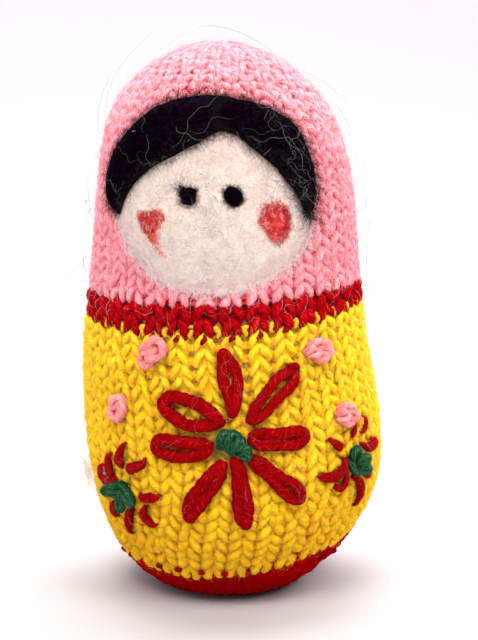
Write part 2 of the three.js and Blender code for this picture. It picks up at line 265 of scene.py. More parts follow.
    def make(self, name, material, stands_for=(), body="root"):
        v = np.concatenate(self.v)
        low = v[:, 2] < 0.35        # what rests on the floor is pressed flat on it
        v[low, 2] = 0.02 + np.maximum(v[low, 2] + 0.6, 0) * (0.33 / 0.95)
        v = (v * MM).astype(np.float32)
        f = np.concatenate(self.f).astype(np.int64)
        uv, bake = np.concatenate(self.uv), np.concatenate(self.bake)
        tri = f[:, 2] == f[:, 3]
        size = np.where(tri, 3, 4)
        keep = np.ones((len(f), 4), bool)
        keep[tri, 3] = False
        loops = f[keep]
        me = bpy.data.meshes.new(name)
        me.vertices.add(len(v))
        me.vertices.foreach_set("co", v.ravel())
        me.loops.add(len(loops))
        me.loops.foreach_set("vertex_index", loops.astype(np.int32))
        me.polygons.add(len(f))
        me.polygons.foreach_set("loop_start", np.concatenate([[0], np.cumsum(size)[:-1]]).astype(np.int32))
        me.polygons.foreach_set("use_smooth", np.ones(len(f), bool))
        me.update(calc_edges=True)
        me.validate()
        flat_keep = keep.ravel()
        for label, data in (("OFBake", bake), ("yarn", uv)):
            layer = me.uv_layers.new(name=label)
            layer.data.foreach_set("uv", data[flat_keep].astype(np.float32).ravel())
        att = me.attributes.new("tone", "FLOAT", "POINT")
        att.data.foreach_set("value", np.concatenate(self.tone).astype(np.float32))
        me.materials.append(material)
        o = bpy.data.objects.new(name, me)
        bpy.context.scene.collection.objects.link(o)
        if stands_for:
            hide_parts(*stands_for)
        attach(o, body)
        return o


# ------------------------------------------------------------------ materials
def srgb(r, g, b):
    return tuple(((c / 255) / 12.92 if c / 255 <= 0.04045 else ((c / 255 + 0.055) / 1.055)**2.4)
                 for c in (r, g, b)) + (1.0,)


def paint_low_shade(nt, co, colour, low_shade):
    """Painted shade: a warmer, darker tint, full at 10 mm above the base and gone at 66 mm."""
    parts = nt.nodes.new("ShaderNodeSeparateXYZ")
    nt.links.new(co.outputs["Object"], parts.inputs[0])
    up = nt.nodes.new("ShaderNodeMapRange")
    up.inputs["From Min"].default_value = 0.010; up.inputs["From Max"].default_value = 0.066
    nt.links.new(parts.outputs["Z"], up.inputs["Value"])
    ramp = nt.nodes.new("ShaderNodeMix"); ramp.data_type = "RGBA"
    ramp.inputs["A"].default_value = low_shade; ramp.inputs["B"].default_value = (1, 1, 1, 1)
    nt.links.new(up.outputs[0], ramp.inputs["Factor"])
    mul = nt.nodes.new("ShaderNodeMix"); mul.data_type = "RGBA"; mul.blend_type = "MULTIPLY"
    mul.inputs["Factor"].default_value = 1.0
    nt.links.new(colour, mul.inputs["A"])
    nt.links.new(ramp.outputs["Result"], mul.inputs["B"])
    return mul.outputs["Result"]


def wool(name, dark, mid, light, streak=(0.45, 2.2), bump=0.10, sheen=0.25, rough=0.9,
         painted_shade_and_tone=0.6, blotch=0.45, sss=0.0, sss_radius=(1.0, 0.5, 0.3), rim=None, spec=0.12, fleck_and_highlight=0.44, groove_shade_and_mottle=0.35, low_shade=None):
    """Wool: streaks of fibre along the yarn with painted highlights, painted shade between plies, slow blotches over
    the piece.

    rim is a colour that takes over where the felt thins out, which its tone marks as 0.
    The last argument is a painted shade that comes in towards the base: a warmer, darker tint for shade and warm
    bounced light low on the doll."""
    m = bpy.data.materials.new(name)
    m.use_nodes = True
    nt = m.node_tree
    nt.nodes.clear()
    new = nt.nodes.new
    link = nt.links.new
    out, sh = new("ShaderNodeOutputMaterial"), new("ShaderNodeBsdfPrincipled")
    link(sh.outputs[0], out.inputs[0])
    uv = new("ShaderNodeUVMap"); uv.uv_map = "yarn"
    mp = new("ShaderNodeMapping"); mp.inputs["Scale"].default_value = (streak[0], streak[1], 1)
    link(uv.outputs[0], mp.inputs[0])
    fine = new("ShaderNodeTexNoise"); fine.inputs["Scale"].default_value = 1.6
    fine.inputs["Detail"].default_value = 3.0
    link(mp.outputs[0], fine.inputs["Vector"])
    co = new("ShaderNodeTexCoord")
    slow = new("ShaderNodeTexNoise"); slow.inputs["Scale"].default_value = 130.0
    slow.inputs["Detail"].default_value = 2.0
    link(co.outputs["Object"], slow.inputs["Vector"])
    hair = new("ShaderNodeTexNoise"); hair.inputs["Scale"].default_value = 2600.0
    hair.inputs["Detail"].default_value = 2.0
    link(co.outputs["Object"], hair.inputs["Vector"])
    # the tone attribute pulls the colour towards dark: painted shade on yarn tubes, the thinning rim on felt pads,
    # random variation and holes on the back sheets
    at = new("ShaderNodeAttribute"); at.attribute_name = "tone"
    r1 = new("ShaderNodeMapRange"); r1.inputs["To Min"].default_value = 1 - painted_shade_and_tone; r1.inputs["To Max"].default_value = 1.0
    link(at.outputs["Fac"], r1.inputs["Value"])
    mix1 = new("ShaderNodeMix"); mix1.data_type = "RGBA"
    mix1.inputs["A"].default_value = dark; mix1.inputs["B"].default_value = mid
    link(r1.outputs[0], mix1.inputs["Factor"])
    # the lightest streaks along the yarn take the light colour: partly lighter fibres, partly painted highlights on the
    # plies
    r2 = new("ShaderNodeMapRange")
    r2.inputs["From Min"].default_value = fleck_and_highlight; r2.inputs["From Max"].default_value = 0.70
    r2.inputs["To Max"].default_value = 0.8
    link(fine.outputs["Fac"], r2.inputs["Value"])
    mix2 = new("ShaderNodeMix"); mix2.data_type = "RGBA"
    mix2.inputs["B"].default_value = light
    link(mix1.outputs["Result"], mix2.inputs["A"])
    link(r2.outputs[0], mix2.inputs["Factor"])
    r3 = new("ShaderNodeMapRange")
    r3.inputs["From Min"].default_value = 0.35; r3.inputs["From Max"].default_value = 0.70
    r3.inputs["To Min"].default_value = 0.0; r3.inputs["To Max"].default_value = blotch
    link(slow.outputs["Fac"], r3.inputs["Value"])
    # the darkest streaks take the dark colour: painted shade in the grooves between plies on yarn, a darker mottling on
    # felt
    r5 = new("ShaderNodeMapRange")
    r5.inputs["From Min"].default_value = 0.30; r5.inputs["From Max"].default_value = 0.47
    r5.inputs["To Min"].default_value = groove_shade_and_mottle; r5.inputs["To Max"].default_value = 0.0
    link(fine.outputs["Fac"], r5.inputs["Value"])
    mix5 = new("ShaderNodeMix"); mix5.data_type = "RGBA"
    mix5.inputs["B"].default_value = dark
    link(mix2.outputs["Result"], mix5.inputs["A"])
    link(r5.outputs[0], mix5.inputs["Factor"])
    mix3 = new("ShaderNodeMix"); mix3.data_type = "RGBA"
    mix3.inputs["B"].default_value = tuple(0.5 * (a + b) for a, b in zip(dark, mid))
    link(mix5.outputs["Result"], mix3.inputs["A"])
    link(r3.outputs[0], mix3.inputs["Factor"])
    last = mix3.outputs["Result"]
    if rim:
        wob = new("ShaderNodeMath"); wob.operation = "MULTIPLY_ADD"
        wob.inputs[1].default_value = 0.5
        link(hair.outputs["Fac"], wob.inputs[0]); link(at.outputs["Fac"], wob.inputs[2])
        r4 = new("ShaderNodeMapRange")
        r4.inputs["From Min"].default_value = 0.20; r4.inputs["From Max"].default_value = 0.80
        link(wob.outputs[0], r4.inputs["Value"])
        mix4 = new("ShaderNodeMix"); mix4.data_type = "RGBA"
        mix4.inputs["A"].default_value = rim
        link(last, mix4.inputs["B"])
        link(r4.outputs[0], mix4.inputs["Factor"])
        last = mix4.outputs["Result"]
    if low_shade:
        last = paint_low_shade(nt, co, last, low_shade)
    link(last, sh.inputs["Base Color"])
    add = new("ShaderNodeMath"); add.operation = "MULTIPLY_ADD"
    add.inputs[1].default_value = 0.5
    link(hair.outputs["Fac"], add.inputs[0])
    link(fine.outputs["Fac"], add.inputs[2])
    bp = new("ShaderNodeBump"); bp.inputs["Strength"].default_value = 1.0
    bp.inputs["Distance"].default_value = bump * MM
    link(add.outputs[0], bp.inputs["Height"])
    link(bp.outputs[0], sh.inputs["Normal"])
    rr = new("ShaderNodeMapRange"); rr.inputs["To Min"].default_value = rough - 0.08
    rr.inputs["To Max"].default_value = min(1.0, rough + 0.1)
    link(hair.outputs["Fac"], rr.inputs["Value"])
    link(rr.outputs[0], sh.inputs["Roughness"])
    sh.inputs["Sheen Weight"].default_value = sheen
    sh.inputs["Sheen Roughness"].default_value = 0.5
    sh.inputs["Sheen Tint"].default_value = light
    sh.inputs["Specular IOR Level"].default_value = spec
    if sss:
        sh.inputs["Subsurface Weight"].default_value = sss
        sh.inputs["Subsurface Radius"].default_value = sss_radius
        sh.inputs["Subsurface Scale"].default_value = 0.001
    return m


def fibre(name, low, high, rough=0.8, sheen=0.2, low_shade=None):
    """Loose fibres: each one takes its own shade between two colours, with slow change along the piece."""
    m = bpy.data.materials.new(name)
    m.use_nodes = True
    nt = m.node_tree
    sh = nt.nodes["Principled BSDF"]
    at = nt.nodes.new("ShaderNodeAttribute"); at.attribute_name = "tone"
    co = nt.nodes.new("ShaderNodeTexCoord")
    ns = nt.nodes.new("ShaderNodeTexNoise"); ns.inputs["Scale"].default_value = 700.0
    nt.links.new(co.outputs["Object"], ns.inputs["Vector"])
    ad = nt.nodes.new("ShaderNodeMath"); ad.operation = "MULTIPLY_ADD"
    ad.inputs[1].default_value = 0.5
    ad.inputs[2].default_value = -0.25
    nt.links.new(ns.outputs["Fac"], ad.inputs[0])
    sm = nt.nodes.new("ShaderNodeMath"); sm.operation = "ADD"; sm.use_clamp = True
    nt.links.new(at.outputs["Fac"], sm.inputs[0])
    nt.links.new(ad.outputs[0], sm.inputs[1])
    mx = nt.nodes.new("ShaderNodeMix"); mx.data_type = "RGBA"
    mx.inputs["A"].default_value = low
    mx.inputs["B"].default_value = high
    nt.links.new(sm.outputs[0], mx.inputs["Factor"])
    nt.links.new(paint_low_shade(nt, co, mx.outputs["Result"], low_shade) if low_shade else mx.outputs["Result"], sh.inputs["Base Color"])
    sh.inputs["Roughness"].default_value = rough
    sh.inputs["Sheen Weight"].default_value = sheen
    sh.inputs["Specular IOR Level"].default_value = 0.15
    return m


# painted shade: the yellow wool and its fibres are tinted warmer and darker towards the base, for shade and warm
# bounced light low on the doll
LOW_SHADE_COLOUR = (0.99, 0.82, 0.55, 1.0)
M_YELLOW = wool("yellow_wool", srgb(222, 134, 2), srgb(255, 215, 14), srgb(255, 239, 74), streak=(0.5, 1.7), painted_shade_and_tone=0.85, sss=0.25,
                sss_radius=(1.0, 0.7, 0.15), spec=0.03, blotch=0.2, low_shade=LOW_SHADE_COLOUR)
# its rim colour, dark brown where the filling shows through open stitches, is the filling's tan darkened: painted shade
# in the holes
M_YELLOW_BACK = wool("yellow_wool_back", srgb(230, 150, 4), srgb(254, 204, 12), srgb(255, 228, 44), streak=(0.9, 0.9), painted_shade_and_tone=0.5,
                     sss=0.1, sss_radius=(1.0, 0.7, 0.15), spec=0.0, bump=0.2, rim=srgb(120, 72, 30))
M_PINK = wool("pink_wool", srgb(230, 66, 76), srgb(252, 146, 158), srgb(255, 208, 217), streak=(0.5, 1.7), painted_shade_and_tone=0.9, sss=0.3,
              sss_radius=(1.0, 0.5, 0.5), spec=0.03, sheen=0.3, blotch=0.3, groove_shade_and_mottle=0.5)
# painted shade: a darker, deeper pink copy of the pink wool, for the backs of the stitches seen down between them
M_PINK_BACK_SHADED = wool("pink_wool_back_painted_shade", srgb(216, 44, 56), srgb(250, 88, 98), srgb(255, 126, 134), streak=(0.9, 0.9), painted_shade_and_tone=0.7,
                   sss=0.1, sss_radius=(1.0, 0.5, 0.5), spec=0.0, bump=0.2)
M_RED = wool("red_wool", srgb(76, 0, 3), srgb(170, 2, 8), srgb(226, 34, 54), streak=(0.5, 1.7), sheen=0.0, painted_shade_and_tone=0.95, sss=0.1,
             sss_radius=(0.6, 0.02, 0.02), spec=0.0, fleck_and_highlight=0.50, groove_shade_and_mottle=0.6)
# painted shade: a darker copy of the red wool, for the backs of the band's stitches seen between them; its rim is the
# filling's tan where that shows
M_RED_BACK_SHADED = wool("red_wool_back_painted_shade", srgb(60, 0, 2), srgb(118, 0, 4), srgb(150, 4, 12), streak=(0.9, 0.9), sheen=0.0, painted_shade_and_tone=0.4, spec=0.0, bump=0.2,
                  rim=srgb(196, 126, 84))
M_BASE = wool("base_wool", srgb(104, 0, 2), srgb(172, 0, 4), srgb(192, 4, 14), sheen=0.0, painted_shade_and_tone=0.7, sss=0.1,
              sss_radius=(0.6, 0.02, 0.02), spec=0.0)
M_THREAD = wool("red_embroidery", srgb(60, 0, 1), srgb(152, 0, 2), srgb(236, 36, 54), streak=(0.42, 1.5), bump=0.12,
                sheen=0.0, painted_shade_and_tone=0.9, sss=0.1, sss_radius=(0.6, 0.02, 0.02), spec=0.0, rough=0.75, fleck_and_highlight=0.57, groove_shade_and_mottle=0.6)
M_GREEN = wool("green_embroidery", srgb(0, 4, 2), srgb(22, 78, 42), srgb(110, 176, 126), streak=(0.5, 1.8), painted_shade_and_tone=1.0, sheen=0.0,
               spec=0.03, bump=0.14, fleck_and_highlight=0.55, groove_shade_and_mottle=0.7)
M_ROSE = wool("rose_embroidery", srgb(196, 58, 52), srgb(248, 148, 142), srgb(255, 206, 204), painted_shade_and_tone=0.9, sss=0.2, sss_radius=(1.0, 0.5, 0.4),
              spec=0.03, sheen=0.2)
M_CREAM = wool("cream_felt", srgb(222, 192, 166), srgb(248, 227, 214), srgb(255, 245, 240), streak=(0.9, 1.5), bump=0.14,
               sheen=0.1, sss=0.3, sss_radius=(1.2, 0.8, 0.6), blotch=0.35, painted_shade_and_tone=0.1, spec=0.0, rim=srgb(250, 204, 202), groove_shade_and_mottle=0.5)
M_BLACK = wool("black_felt", srgb(2, 0, 3), srgb(7, 1, 8), srgb(17, 5, 17), streak=(0.5, 2.0), bump=0.12, sheen=0.0, spec=0.0)
M_CORAL = wool("coral_felt", srgb(182, 28, 32), srgb(238, 74, 68), srgb(250, 130, 116), streak=(1.5, 1.5), bump=0.16, sheen=0.0, spec=0.0,
               painted_shade_and_tone=0.2, blotch=0.3, rim=srgb(232, 150, 136), groove_shade_and_mottle=0.7)
M_FILL = wool("filling_fibre", srgb(150, 112, 80), srgb(214, 178, 140), srgb(240, 218, 190), streak=(1.0, 1.0), bump=0.2, sss=0.3, spec=0.0)
F_PINK = fibre("pink_fibre", srgb(248, 92, 106), srgb(255, 222, 232), sheen=0.2)
F_YELLOW = fibre("yellow_fibre", srgb(236, 160, 2), srgb(255, 244, 88), sheen=0.1, low_shade=LOW_SHADE_COLOUR)
F_RED = fibre("red_fibre", srgb(112, 0, 3), srgb(206, 8, 22), sheen=0.0)
F_THREAD = fibre("red_thread_fibre", srgb(116, 0, 2), srgb(226, 12, 24), sheen=0.0)
F_CREAM = fibre("cream_fibre", srgb(202, 164, 138), srgb(255, 247, 243))
F_BLACK = fibre("black_fibre", srgb(3, 0, 4), srgb(44, 20, 34), sheen=0.0)
F_CORAL = fibre("coral_fibre", srgb(180, 20, 26), srgb(253, 116, 104), sheen=0.0)
F_GREY = fibre("stray_fibre", srgb(34, 32, 30), srgb(134, 146, 134), sheen=0.0)
F_PALE = fibre("pale_fibre", srgb(206, 110, 104), srgb(250, 226, 214))
F_GREEN = fibre("green_fibre", srgb(6, 42, 24), srgb(104, 166, 122), sheen=0.0)
F_TAN = fibre("filling_strands", srgb(76, 42, 18), srgb(236, 184, 118))
F_ORANGE = fibre("bled_fibre", srgb(216, 70, 12), srgb(246, 150, 30))

# ------------------------------------------------------------------ knitting
# One stitch's yarn, left half, from the strand between two stitches to the top of the loop:
# across in stitch widths, up in round heights, depth from 0 at the back to 1 in front, thickness
HALF = [(-0.50, -0.26, 0.10, 0.80), (-0.28, -0.24, 0.30, 0.84), (-0.130, 0.00, 0.78, 0.98), (-0.225, 0.42, 1.10, 1.17),
        (-0.375, 0.84, 0.84, 1.07), (-0.40, 1.14, 0.40, 0.86)]
LOOP = HALF + [(0.0, 1.42, 0.26, 0.80)] + [(-u, v, w, t) for u, v, w, t in HALF[:0:-1]]
OPEN = np.array([0, -0.015, -0.035, -0.060, -0.045, -0.025, 0, 0.025, 0.045, 0.060, 0.035, 0.015])   # how a loose stitch spreads
# the lowest round of the body: the strands between stitches turn under, and the feet show as rounded pairs
EDGE_HALF = [(-0.50, -0.06, -0.75, 0.8), (-0.33, -0.26, -0.30, 1.0), (-0.250, -0.33, 0.52, 1.16), (-0.250, 0.0, 1.02, 1.20),
             (-0.24, 0.44, 1.08, 1.18), (-0.375, 0.84, 0.84, 1.07), (-0.40, 1.14, 0.40, 0.86)]
EDGE_LOOP = EDGE_HALF + [(0.0, 1.42, 0.26, 0.80)] + [(-u, v, w, t) for u, v, w, t in EDGE_HALF[:0:-1]]
FRONT, BACK = -0.78, -1.95


def courses(sheaf, rows, seed, yarn=YARN, per=2, front=FRONT, back=BACK, edge=False, sides=9, rough=1.0, loose=None, feet=0.0, head=0.0):
    """rows is a list of (arc length, round height, centres, widths), in mm and radians."""
    rng = np.random.default_rng(seed)
    count = len(rows)
    yarn = np.broadcast_to(yarn, (count,))
    for r, (s0, high, centres, widths) in enumerate(rows):
        loop = np.array(EDGE_LOOP if edge and r == 0 else LOOP)
        if r == 0 and feet:
            # the first round's feet stand apart round the loop that they come out of
            for k, part in ((1, 0.5), (2, 1.0), (3, 0.5)):
                loop[k, 0] -= feet * part
                loop[-k, 0] += feet * part
        if r == count - 1 and head:
            loop[len(loop) // 2, 1:3] += [head, 0.30]
        n = len(centres)
        jit = rng.normal(0, rough, (n, 6))
        slack = loose(s0, centres)[:, None] if loose and len(loop) == len(OPEN) else np.zeros((n, 1))
        u = loop[None, :, 0] * (1 + 0.06 * jit[:, :1])
        if len(loop) == len(OPEN):
            u = u + OPEN[None, :] * slack
        v = loop[None, :, 1] * (1 + 0.05 * jit[:, 1:2]) + 0.08 * jit[:, 2:3]
        w = loop[None, :, 2] - 0.35 * slack * (loop[None, :, 2] < 0.5)
        lean = 0.03 * jit[:, 3:4] * loop[None, :, 1]
        th = centres[:, None] + (u + lean) * widths[:, None]
        th[:, 0] = centres - 0.5 * widths
        s = s0 + v * high
        lift = back + (front - back) * w + 0.07 * jit[:, 4:5]
        fat = loop[None, :, 3] * (1 + 0.06 * jit[:, 5:6]) * (1 - 0.15 * slack)
        # no two legs are quite alike
        th = th + 0.018 * rough * widths[:, None] * rng.normal(0, 1, th.shape) * (loop[None, :, 2] > 0.5)
        s = s + 0.05 * rough * high * rng.normal(0, 1, s.shape) * (loop[None, :, 2] > 0.3)
        lift = lift + 0.06 * rough * rng.normal(0, 1, lift.shape)
        ctrl = np.stack([th, s, lift, fat], -1).reshape(-1, 4)
        # closed in angle: carry the full turn over at the join
        m = len(ctrl)
        full = np.array([2 * np.pi, 0, 0, 0])
        ext = np.vstack([ctrl[-2:] - full, ctrl, ctrl[:3] + full])
        c = catmull(ext, per)[2 * per:(2 + m) * per]
        ss = climb(c[:, 0], c[:, 1])
        path = skin(c[:, 0], ss, c[:, 2])
        up = normal(c[:, 0], ss)
        thick = yarn[r] * c[:, 3] * (1 + 0.06 * noise(path, 7.0, seed + 5) + 0.05 * noise(path, 1.6, seed + 6))
        sheaf.tube(path, up, thick, sides=sides, closed=True, depth=0.035, turn=4.6, flat=FLAT, ply_valley_shade=0.07, band=(r / count, (r + 1) / count))


def behind(name, s_lo, s_hi, depth, material, seed, hole=None, across=400, step=0.65):
    """The back of the stitches, seen between them: a rough sheet a little way under the yarn."""
    n = max(6, int((s_hi - s_lo) / step))
    th = np.linspace(0, 2 * np.pi, across + 1)[:-1]
    s0 = np.linspace(s_lo, s_hi, n)
    TH, S0 = np.meshgrid(th, s0, indexing="ij")
    SS = climb(TH, S0)
    flat_ = skin(TH, SS, 0)
    pts = skin(TH, SS, depth + 0.16 * noise(flat_, 1.3, seed) + 0.10 * noise(flat_, 0.7, seed + 1))
    tone = 0.75 + 0.25 * noise(flat_, 1.1, seed + 2)
    if hole is not None:
        tone = np.clip(tone * (1 - hole(TH, S0)), 0, 1)
    uv = np.stack(np.broadcast_arrays(np.arange(across + 1)[:, None] * 0.5, np.arange(n)[None, :] * step), -1)
    bk = np.stack(np.broadcast_arrays(np.linspace(0.01, 0.99, across + 1)[:, None], np.linspace(0.01, 0.99, n)[None, :]), -1)
    sheaf = Sheaf()
    sheaf.grid(pts[:, ::-1], True, False, uv.astype(float), bk.astype(float), tone[:, ::-1])
    return sheaf.make(name, material)


class Columns:
    """The wales of a shell, each with a weight on every round, so that they can start and end."""

    def __init__(self, count, first):
        self.count, self.first = count, first

    def row(self, weights, centre0):
        w = np.asarray(weights, float)
        live = w > 1e-6
        w = w[live]
        width = w / w.sum() * 2 * np.pi
        edge = np.concatenate([[0], np.cumsum(width)])
        c = (edge[:-1] + edge[1:]) / 2
        k = int(np.flatnonzero(np.flatnonzero(live) == self.first)[0])
        return c - c[k] + math.radians(centre0), width


NECK = 34
EXTRA = [3, 11, 20, 29]      # the body gains a stitch after each of these
order = []
for i in range(NECK):
    order.append(("main", i))
    if i in EXTRA:
        order.append(("extra", i))
BODY = Columns(len(order), 0)
is_extra = np.array([kind == "extra" for kind, _ in order])
END_A = {2, 11, 21, 30}      # stitches worked together low on the body
END_B = {6, 15, 26, 35}


def ease(x):
    x = min(max(x, 0.0), 1.0)
    return x * x * (3 - 2 * x)


def body_rows():
    lo, hi = arc_of(BASE_EDGE), arc_of(BAND_LOW)
    count = 20
    high = (hi - lo) / count
    rows = []
    for r in range(count):
        down = count - 1 - r            # rounds below the band
        w = np.ones(len(order))
        for k in range(len(order)):
            if is_extra[k]:
                w[k] = 0 if down < 2 else 0.45 + 0.55 * ease((down - 2) / 3)
            if k in END_A:
                w[k] = min(w[k], 0 if r < 5 else 0.45 + 0.55 * ease((r - 5) / 3))
            if k in END_B:
                w[k] = min(w[k], 0 if r < 3 else 0.45 + 0.55 * ease((r - 3) / 3))
        start = -2.3 + 1.8 * ease(down / 6) - 1.8 * ease((down - 10) / 9)
        c, width = BODY.row(w, start)
        rows.append((lo + r * high, high, c, width))
    return rows


def hood_rows():
    lo = arc_of(BAND_HIGH)
    high = 2.5
    count = int((TOP - lo - 3.2) / high)
    cols = Columns(NECK, 0)
    weight = np.ones(NECK)
    going = np.zeros(NECK, bool)
    rows = []
    for r in range(count):
        s = lo + (r + 0.5) * high
        want = max(7, int(round(2 * np.pi * float(radius(s)) / 3.4)))
        live = [k for k in range(NECK) if not going[k]]
        if want < len(live) - 1 and len(live) > 7:
            take = min(len(live) - want, max(2, len(live) // 5))
            for p in np.linspace(1, len(live) - 1, take, endpoint=False).astype(int):
                if live[p] != 0:
                    going[live[p]] = True
        for k in range(NECK):
            if going[k] and weight[k] > 0:
                weight[k] = 0.55 if weight[k] == 1 else 0
        c, width = cols.row(weight, -2.3)
        rows.append((lo + r * high - 0.05 * high, high, c, width))
    return rows


def plain_rows(lo, hi, count, stitches, start):
    high = (hi - lo) / count
    return [(lo + r * high, high, *Columns(stitches, 0).row(np.ones(stitches), start)) for r in range(count)]


rows = body_rows()


def loose(s0, centres):
    """The stitches near the neck, in front, are pulled open."""
    z = float(np.interp(s0, ARC, _line[:, 1]))
    a = np.degrees((centres + np.pi) % (2 * np.pi) - np.pi)
    return ease((z - 36) / 12) * (0.25 + 0.75 * np.exp(-((a - 2) / 34)**2))


fatness = [YARN * (0.99 - 0.14 * ease((r - 8) / 8)) for r in range(20)]
low = Sheaf(); courses(low, rows[:10], 11, yarn=fatness[:10], edge=True, loose=loose)
low.make("body_knit_low", M_YELLOW, ["body_shell"])
high_ = Sheaf(); courses(high_, rows[10:], 12, yarn=fatness[10:], loose=loose, head=0.05)
# the last round's loops come up between the feet of the band's first, darkened towards orange as painted shade, where
# they lie deep between those feet
row_s, row_high, row_c, row_w = rows[-1]
for c in row_c:
    t = np.linspace(0, 1, 8)
    th = c + 0.010 * np.sin(4 * t + 9 * c)
    s_ = row_s + row_high * (0.90 + 0.54 * t)
    high_.tube(skin(th, climb(th, s_), -1.10 + 0.26 * np.sin(math.pi * np.clip(t * 1.05, 0, 1))), normal(th, climb(th, s_)),
               0.42 + 0.20 * t, sides=9, band=(0.97, 1), ply_valley_shade=0.1, shade=-0.80)
high_.make("body_knit_high", M_YELLOW, ["body_shell"])


def body_hole(th, s0):
    """1 in the middle of an open stitch, where the filling shows."""
    lo_s, step = rows[0][0], rows[0][1]
    r = np.clip(((s0 - lo_s) / step).astype(int), 0, len(rows) - 1)
    v = (s0 - lo_s) / step - r
    out = np.zeros(th.shape)
    rng = np.random.default_rng(17)
    for k, (row_s, _, centres, widths) in enumerate(rows):
        hit = r == k
        if not hit.any():
            continue
        a = th[hit]
        d = (a[:, None] - centres[None, :] + np.pi) % (2 * np.pi) - np.pi
        near = np.abs(d).argmin(1)
        u = d[np.arange(len(a)), near] / widths[near]
        turn = np.degrees((centres + np.pi) % (2 * np.pi) - np.pi)
        slack = 0.48 * ease((float(np.interp(row_s, ARC, _line[:, 1])) - 22) / 12) * np.exp(-((turn - 8) / 48)**2)
        amount = ((loose(row_s, centres) + slack) * rng.uniform(0.5, 1.3, len(centres)))[near]
        out[hit] = np.clip(2.4 * amount * np.exp(-(u / 0.17)**2 - ((v[hit] - 0.66) / 0.24)**2), 0, 1)
    return out


behind("body_knit_back", arc_of(6.6), arc_of(60.6), -1.22, M_YELLOW_BACK, 71, body_hole)
band = Sheaf(); courses(band, plain_rows(arc_of(BAND_LOW) - 0.1, arc_of(BAND_HIGH) - 0.1, 2, NECK, -2.3), 13, yarn=YARN * 1.0, feet=0.125)
# where the yellow's legs part, the band's yarn shows between them, darkened as painted shade for the gap it lies in
rng = np.random.default_rng(29)
row_s, row_high, row_c, row_w = rows[-1]
for c, w in zip(row_c, row_w):
    turn = abs(math.degrees((c + 0.5 * w + math.pi) % (2 * math.pi) - math.pi))
    if turn < 30:
        t = np.linspace(0, 1, 9)
        tall = rng.uniform(0.50, 0.72) * (1 if turn < 20 else 0.7)
        th = c + 0.5 * w + 0.02 * w * rng.normal() + 0.012 * np.sin(5 * t)
        s_ = row_s + row_high * (1.06 - tall * t)
        band.tube(skin(th, climb(th, s_), -0.75 + 0.62 * np.sin(math.pi * t)), normal(th, climb(th, s_)),
                  0.30 + 0.26 * np.sin(math.pi * t), sides=8, band=(0.97, 1), ply_valley_shade=0.2, shade=-0.4)
band.make("band_knit", M_RED, ["neck_band"])


def band_hole(th, s0):
    """1 over the strands of filling that show at the foot of each stitch of the band, in front."""
    d = (th - math.radians(-2.3)) / (2 * np.pi / NECK)
    u = d - np.round(d)
    turn = np.degrees((th + np.pi) % (2 * np.pi) - np.pi)
    v = (s0 - arc_of(BAND_LOW)) / 2.7
    return np.clip(1.5 * np.exp(-(u / 0.13)**2 - ((v - 0.92) / 0.24)**2) * np.exp(-((turn - 2) / 45)**2), 0, 1)


behind("band_knit_back", arc_of(60.8), arc_of(66.6), -1.40, M_RED_BACK_SHADED, 72, band_hole)
hood = hood_rows()
slim = [YARN * 0.87 * min(1.0, max(0.74, 2 * np.pi * float(radius(s_)) / len(c_) / 4.7)) for s_, _, c_, _ in hood]
hood_a = Sheaf(); courses(hood_a, hood[:12], 14, yarn=slim[:12], rough=1.25, feet=0.09)
hood_a.make("hood_knit_low", M_PINK, ["hood_shell"])
hood_b = Sheaf(); courses(hood_b, hood[12:], 16, yarn=slim[12:], rough=1.6)
# the last loops are gathered on the yarn's end over the crown
a = np.linspace(0, 2 * np.pi, 40)[:-1]
gather_s = np.full(39, TOP - 1.6) + 0.3 * np.sin(3 * a)
hood_b.tube(skin(a, gather_s, -1.15), normal(a, gather_s), YARN, closed=True, band=(0, 0.02))
hood_b.make("hood_knit_high", M_PINK, ["hood_shell"])
behind("hood_knit_back", arc_of(66.8), TOP - 0.4, -1.30, M_PINK_BACK_SHADED, 73)

# the base: rounds from under the yellow edge down to the middle of the underside
edge_s = arc_of(BASE_EDGE)
n_base = 11
base_rows = []
high = (edge_s + 2.2 - 2.0) / n_base
for r in range(n_base):
    s = 2.0 + r * high
    n = max(7, int(round(2 * np.pi * float(radius(s + high * 0.5)) / 4.2)))
    c, width = Columns(n, 0).row(np.ones(n), -2.3)
    base_rows.append((s, high, c, width))
base = Sheaf(); courses(base, base_rows[:-1], 15, yarn=1.12, front=-0.95, back=-1.6, rough=0.7)
courses(base, base_rows[-1:], 18, yarn=1.0, front=-1.55, back=-2.0, rough=0.5)
rng = np.random.default_rng(19)
_, first_high, first_c, first_w = rows[0]
for c, w in zip(first_c, first_w):
    wide, up_by = 0.11 * rng.uniform(0.8, 1.3), rng.uniform(-0.1, 0.5)
    t = np.linspace(-1, 1, 13)
    th = c + wide * w * t + 0.02 * w * rng.normal()
    s = rows[0][0] + first_high * (-0.05 + (0.62 + 0.30 * up_by) * (1 - t**2))
    lift = -1.3 + (1.25 + 0.4 * up_by) * (1 - t**4)
    base.tube(skin(th, s, lift), normal(th, s), 0.46, sides=9, band=(0.98, 1))
base.make("base_knit", M_BASE, ["base_cap"])

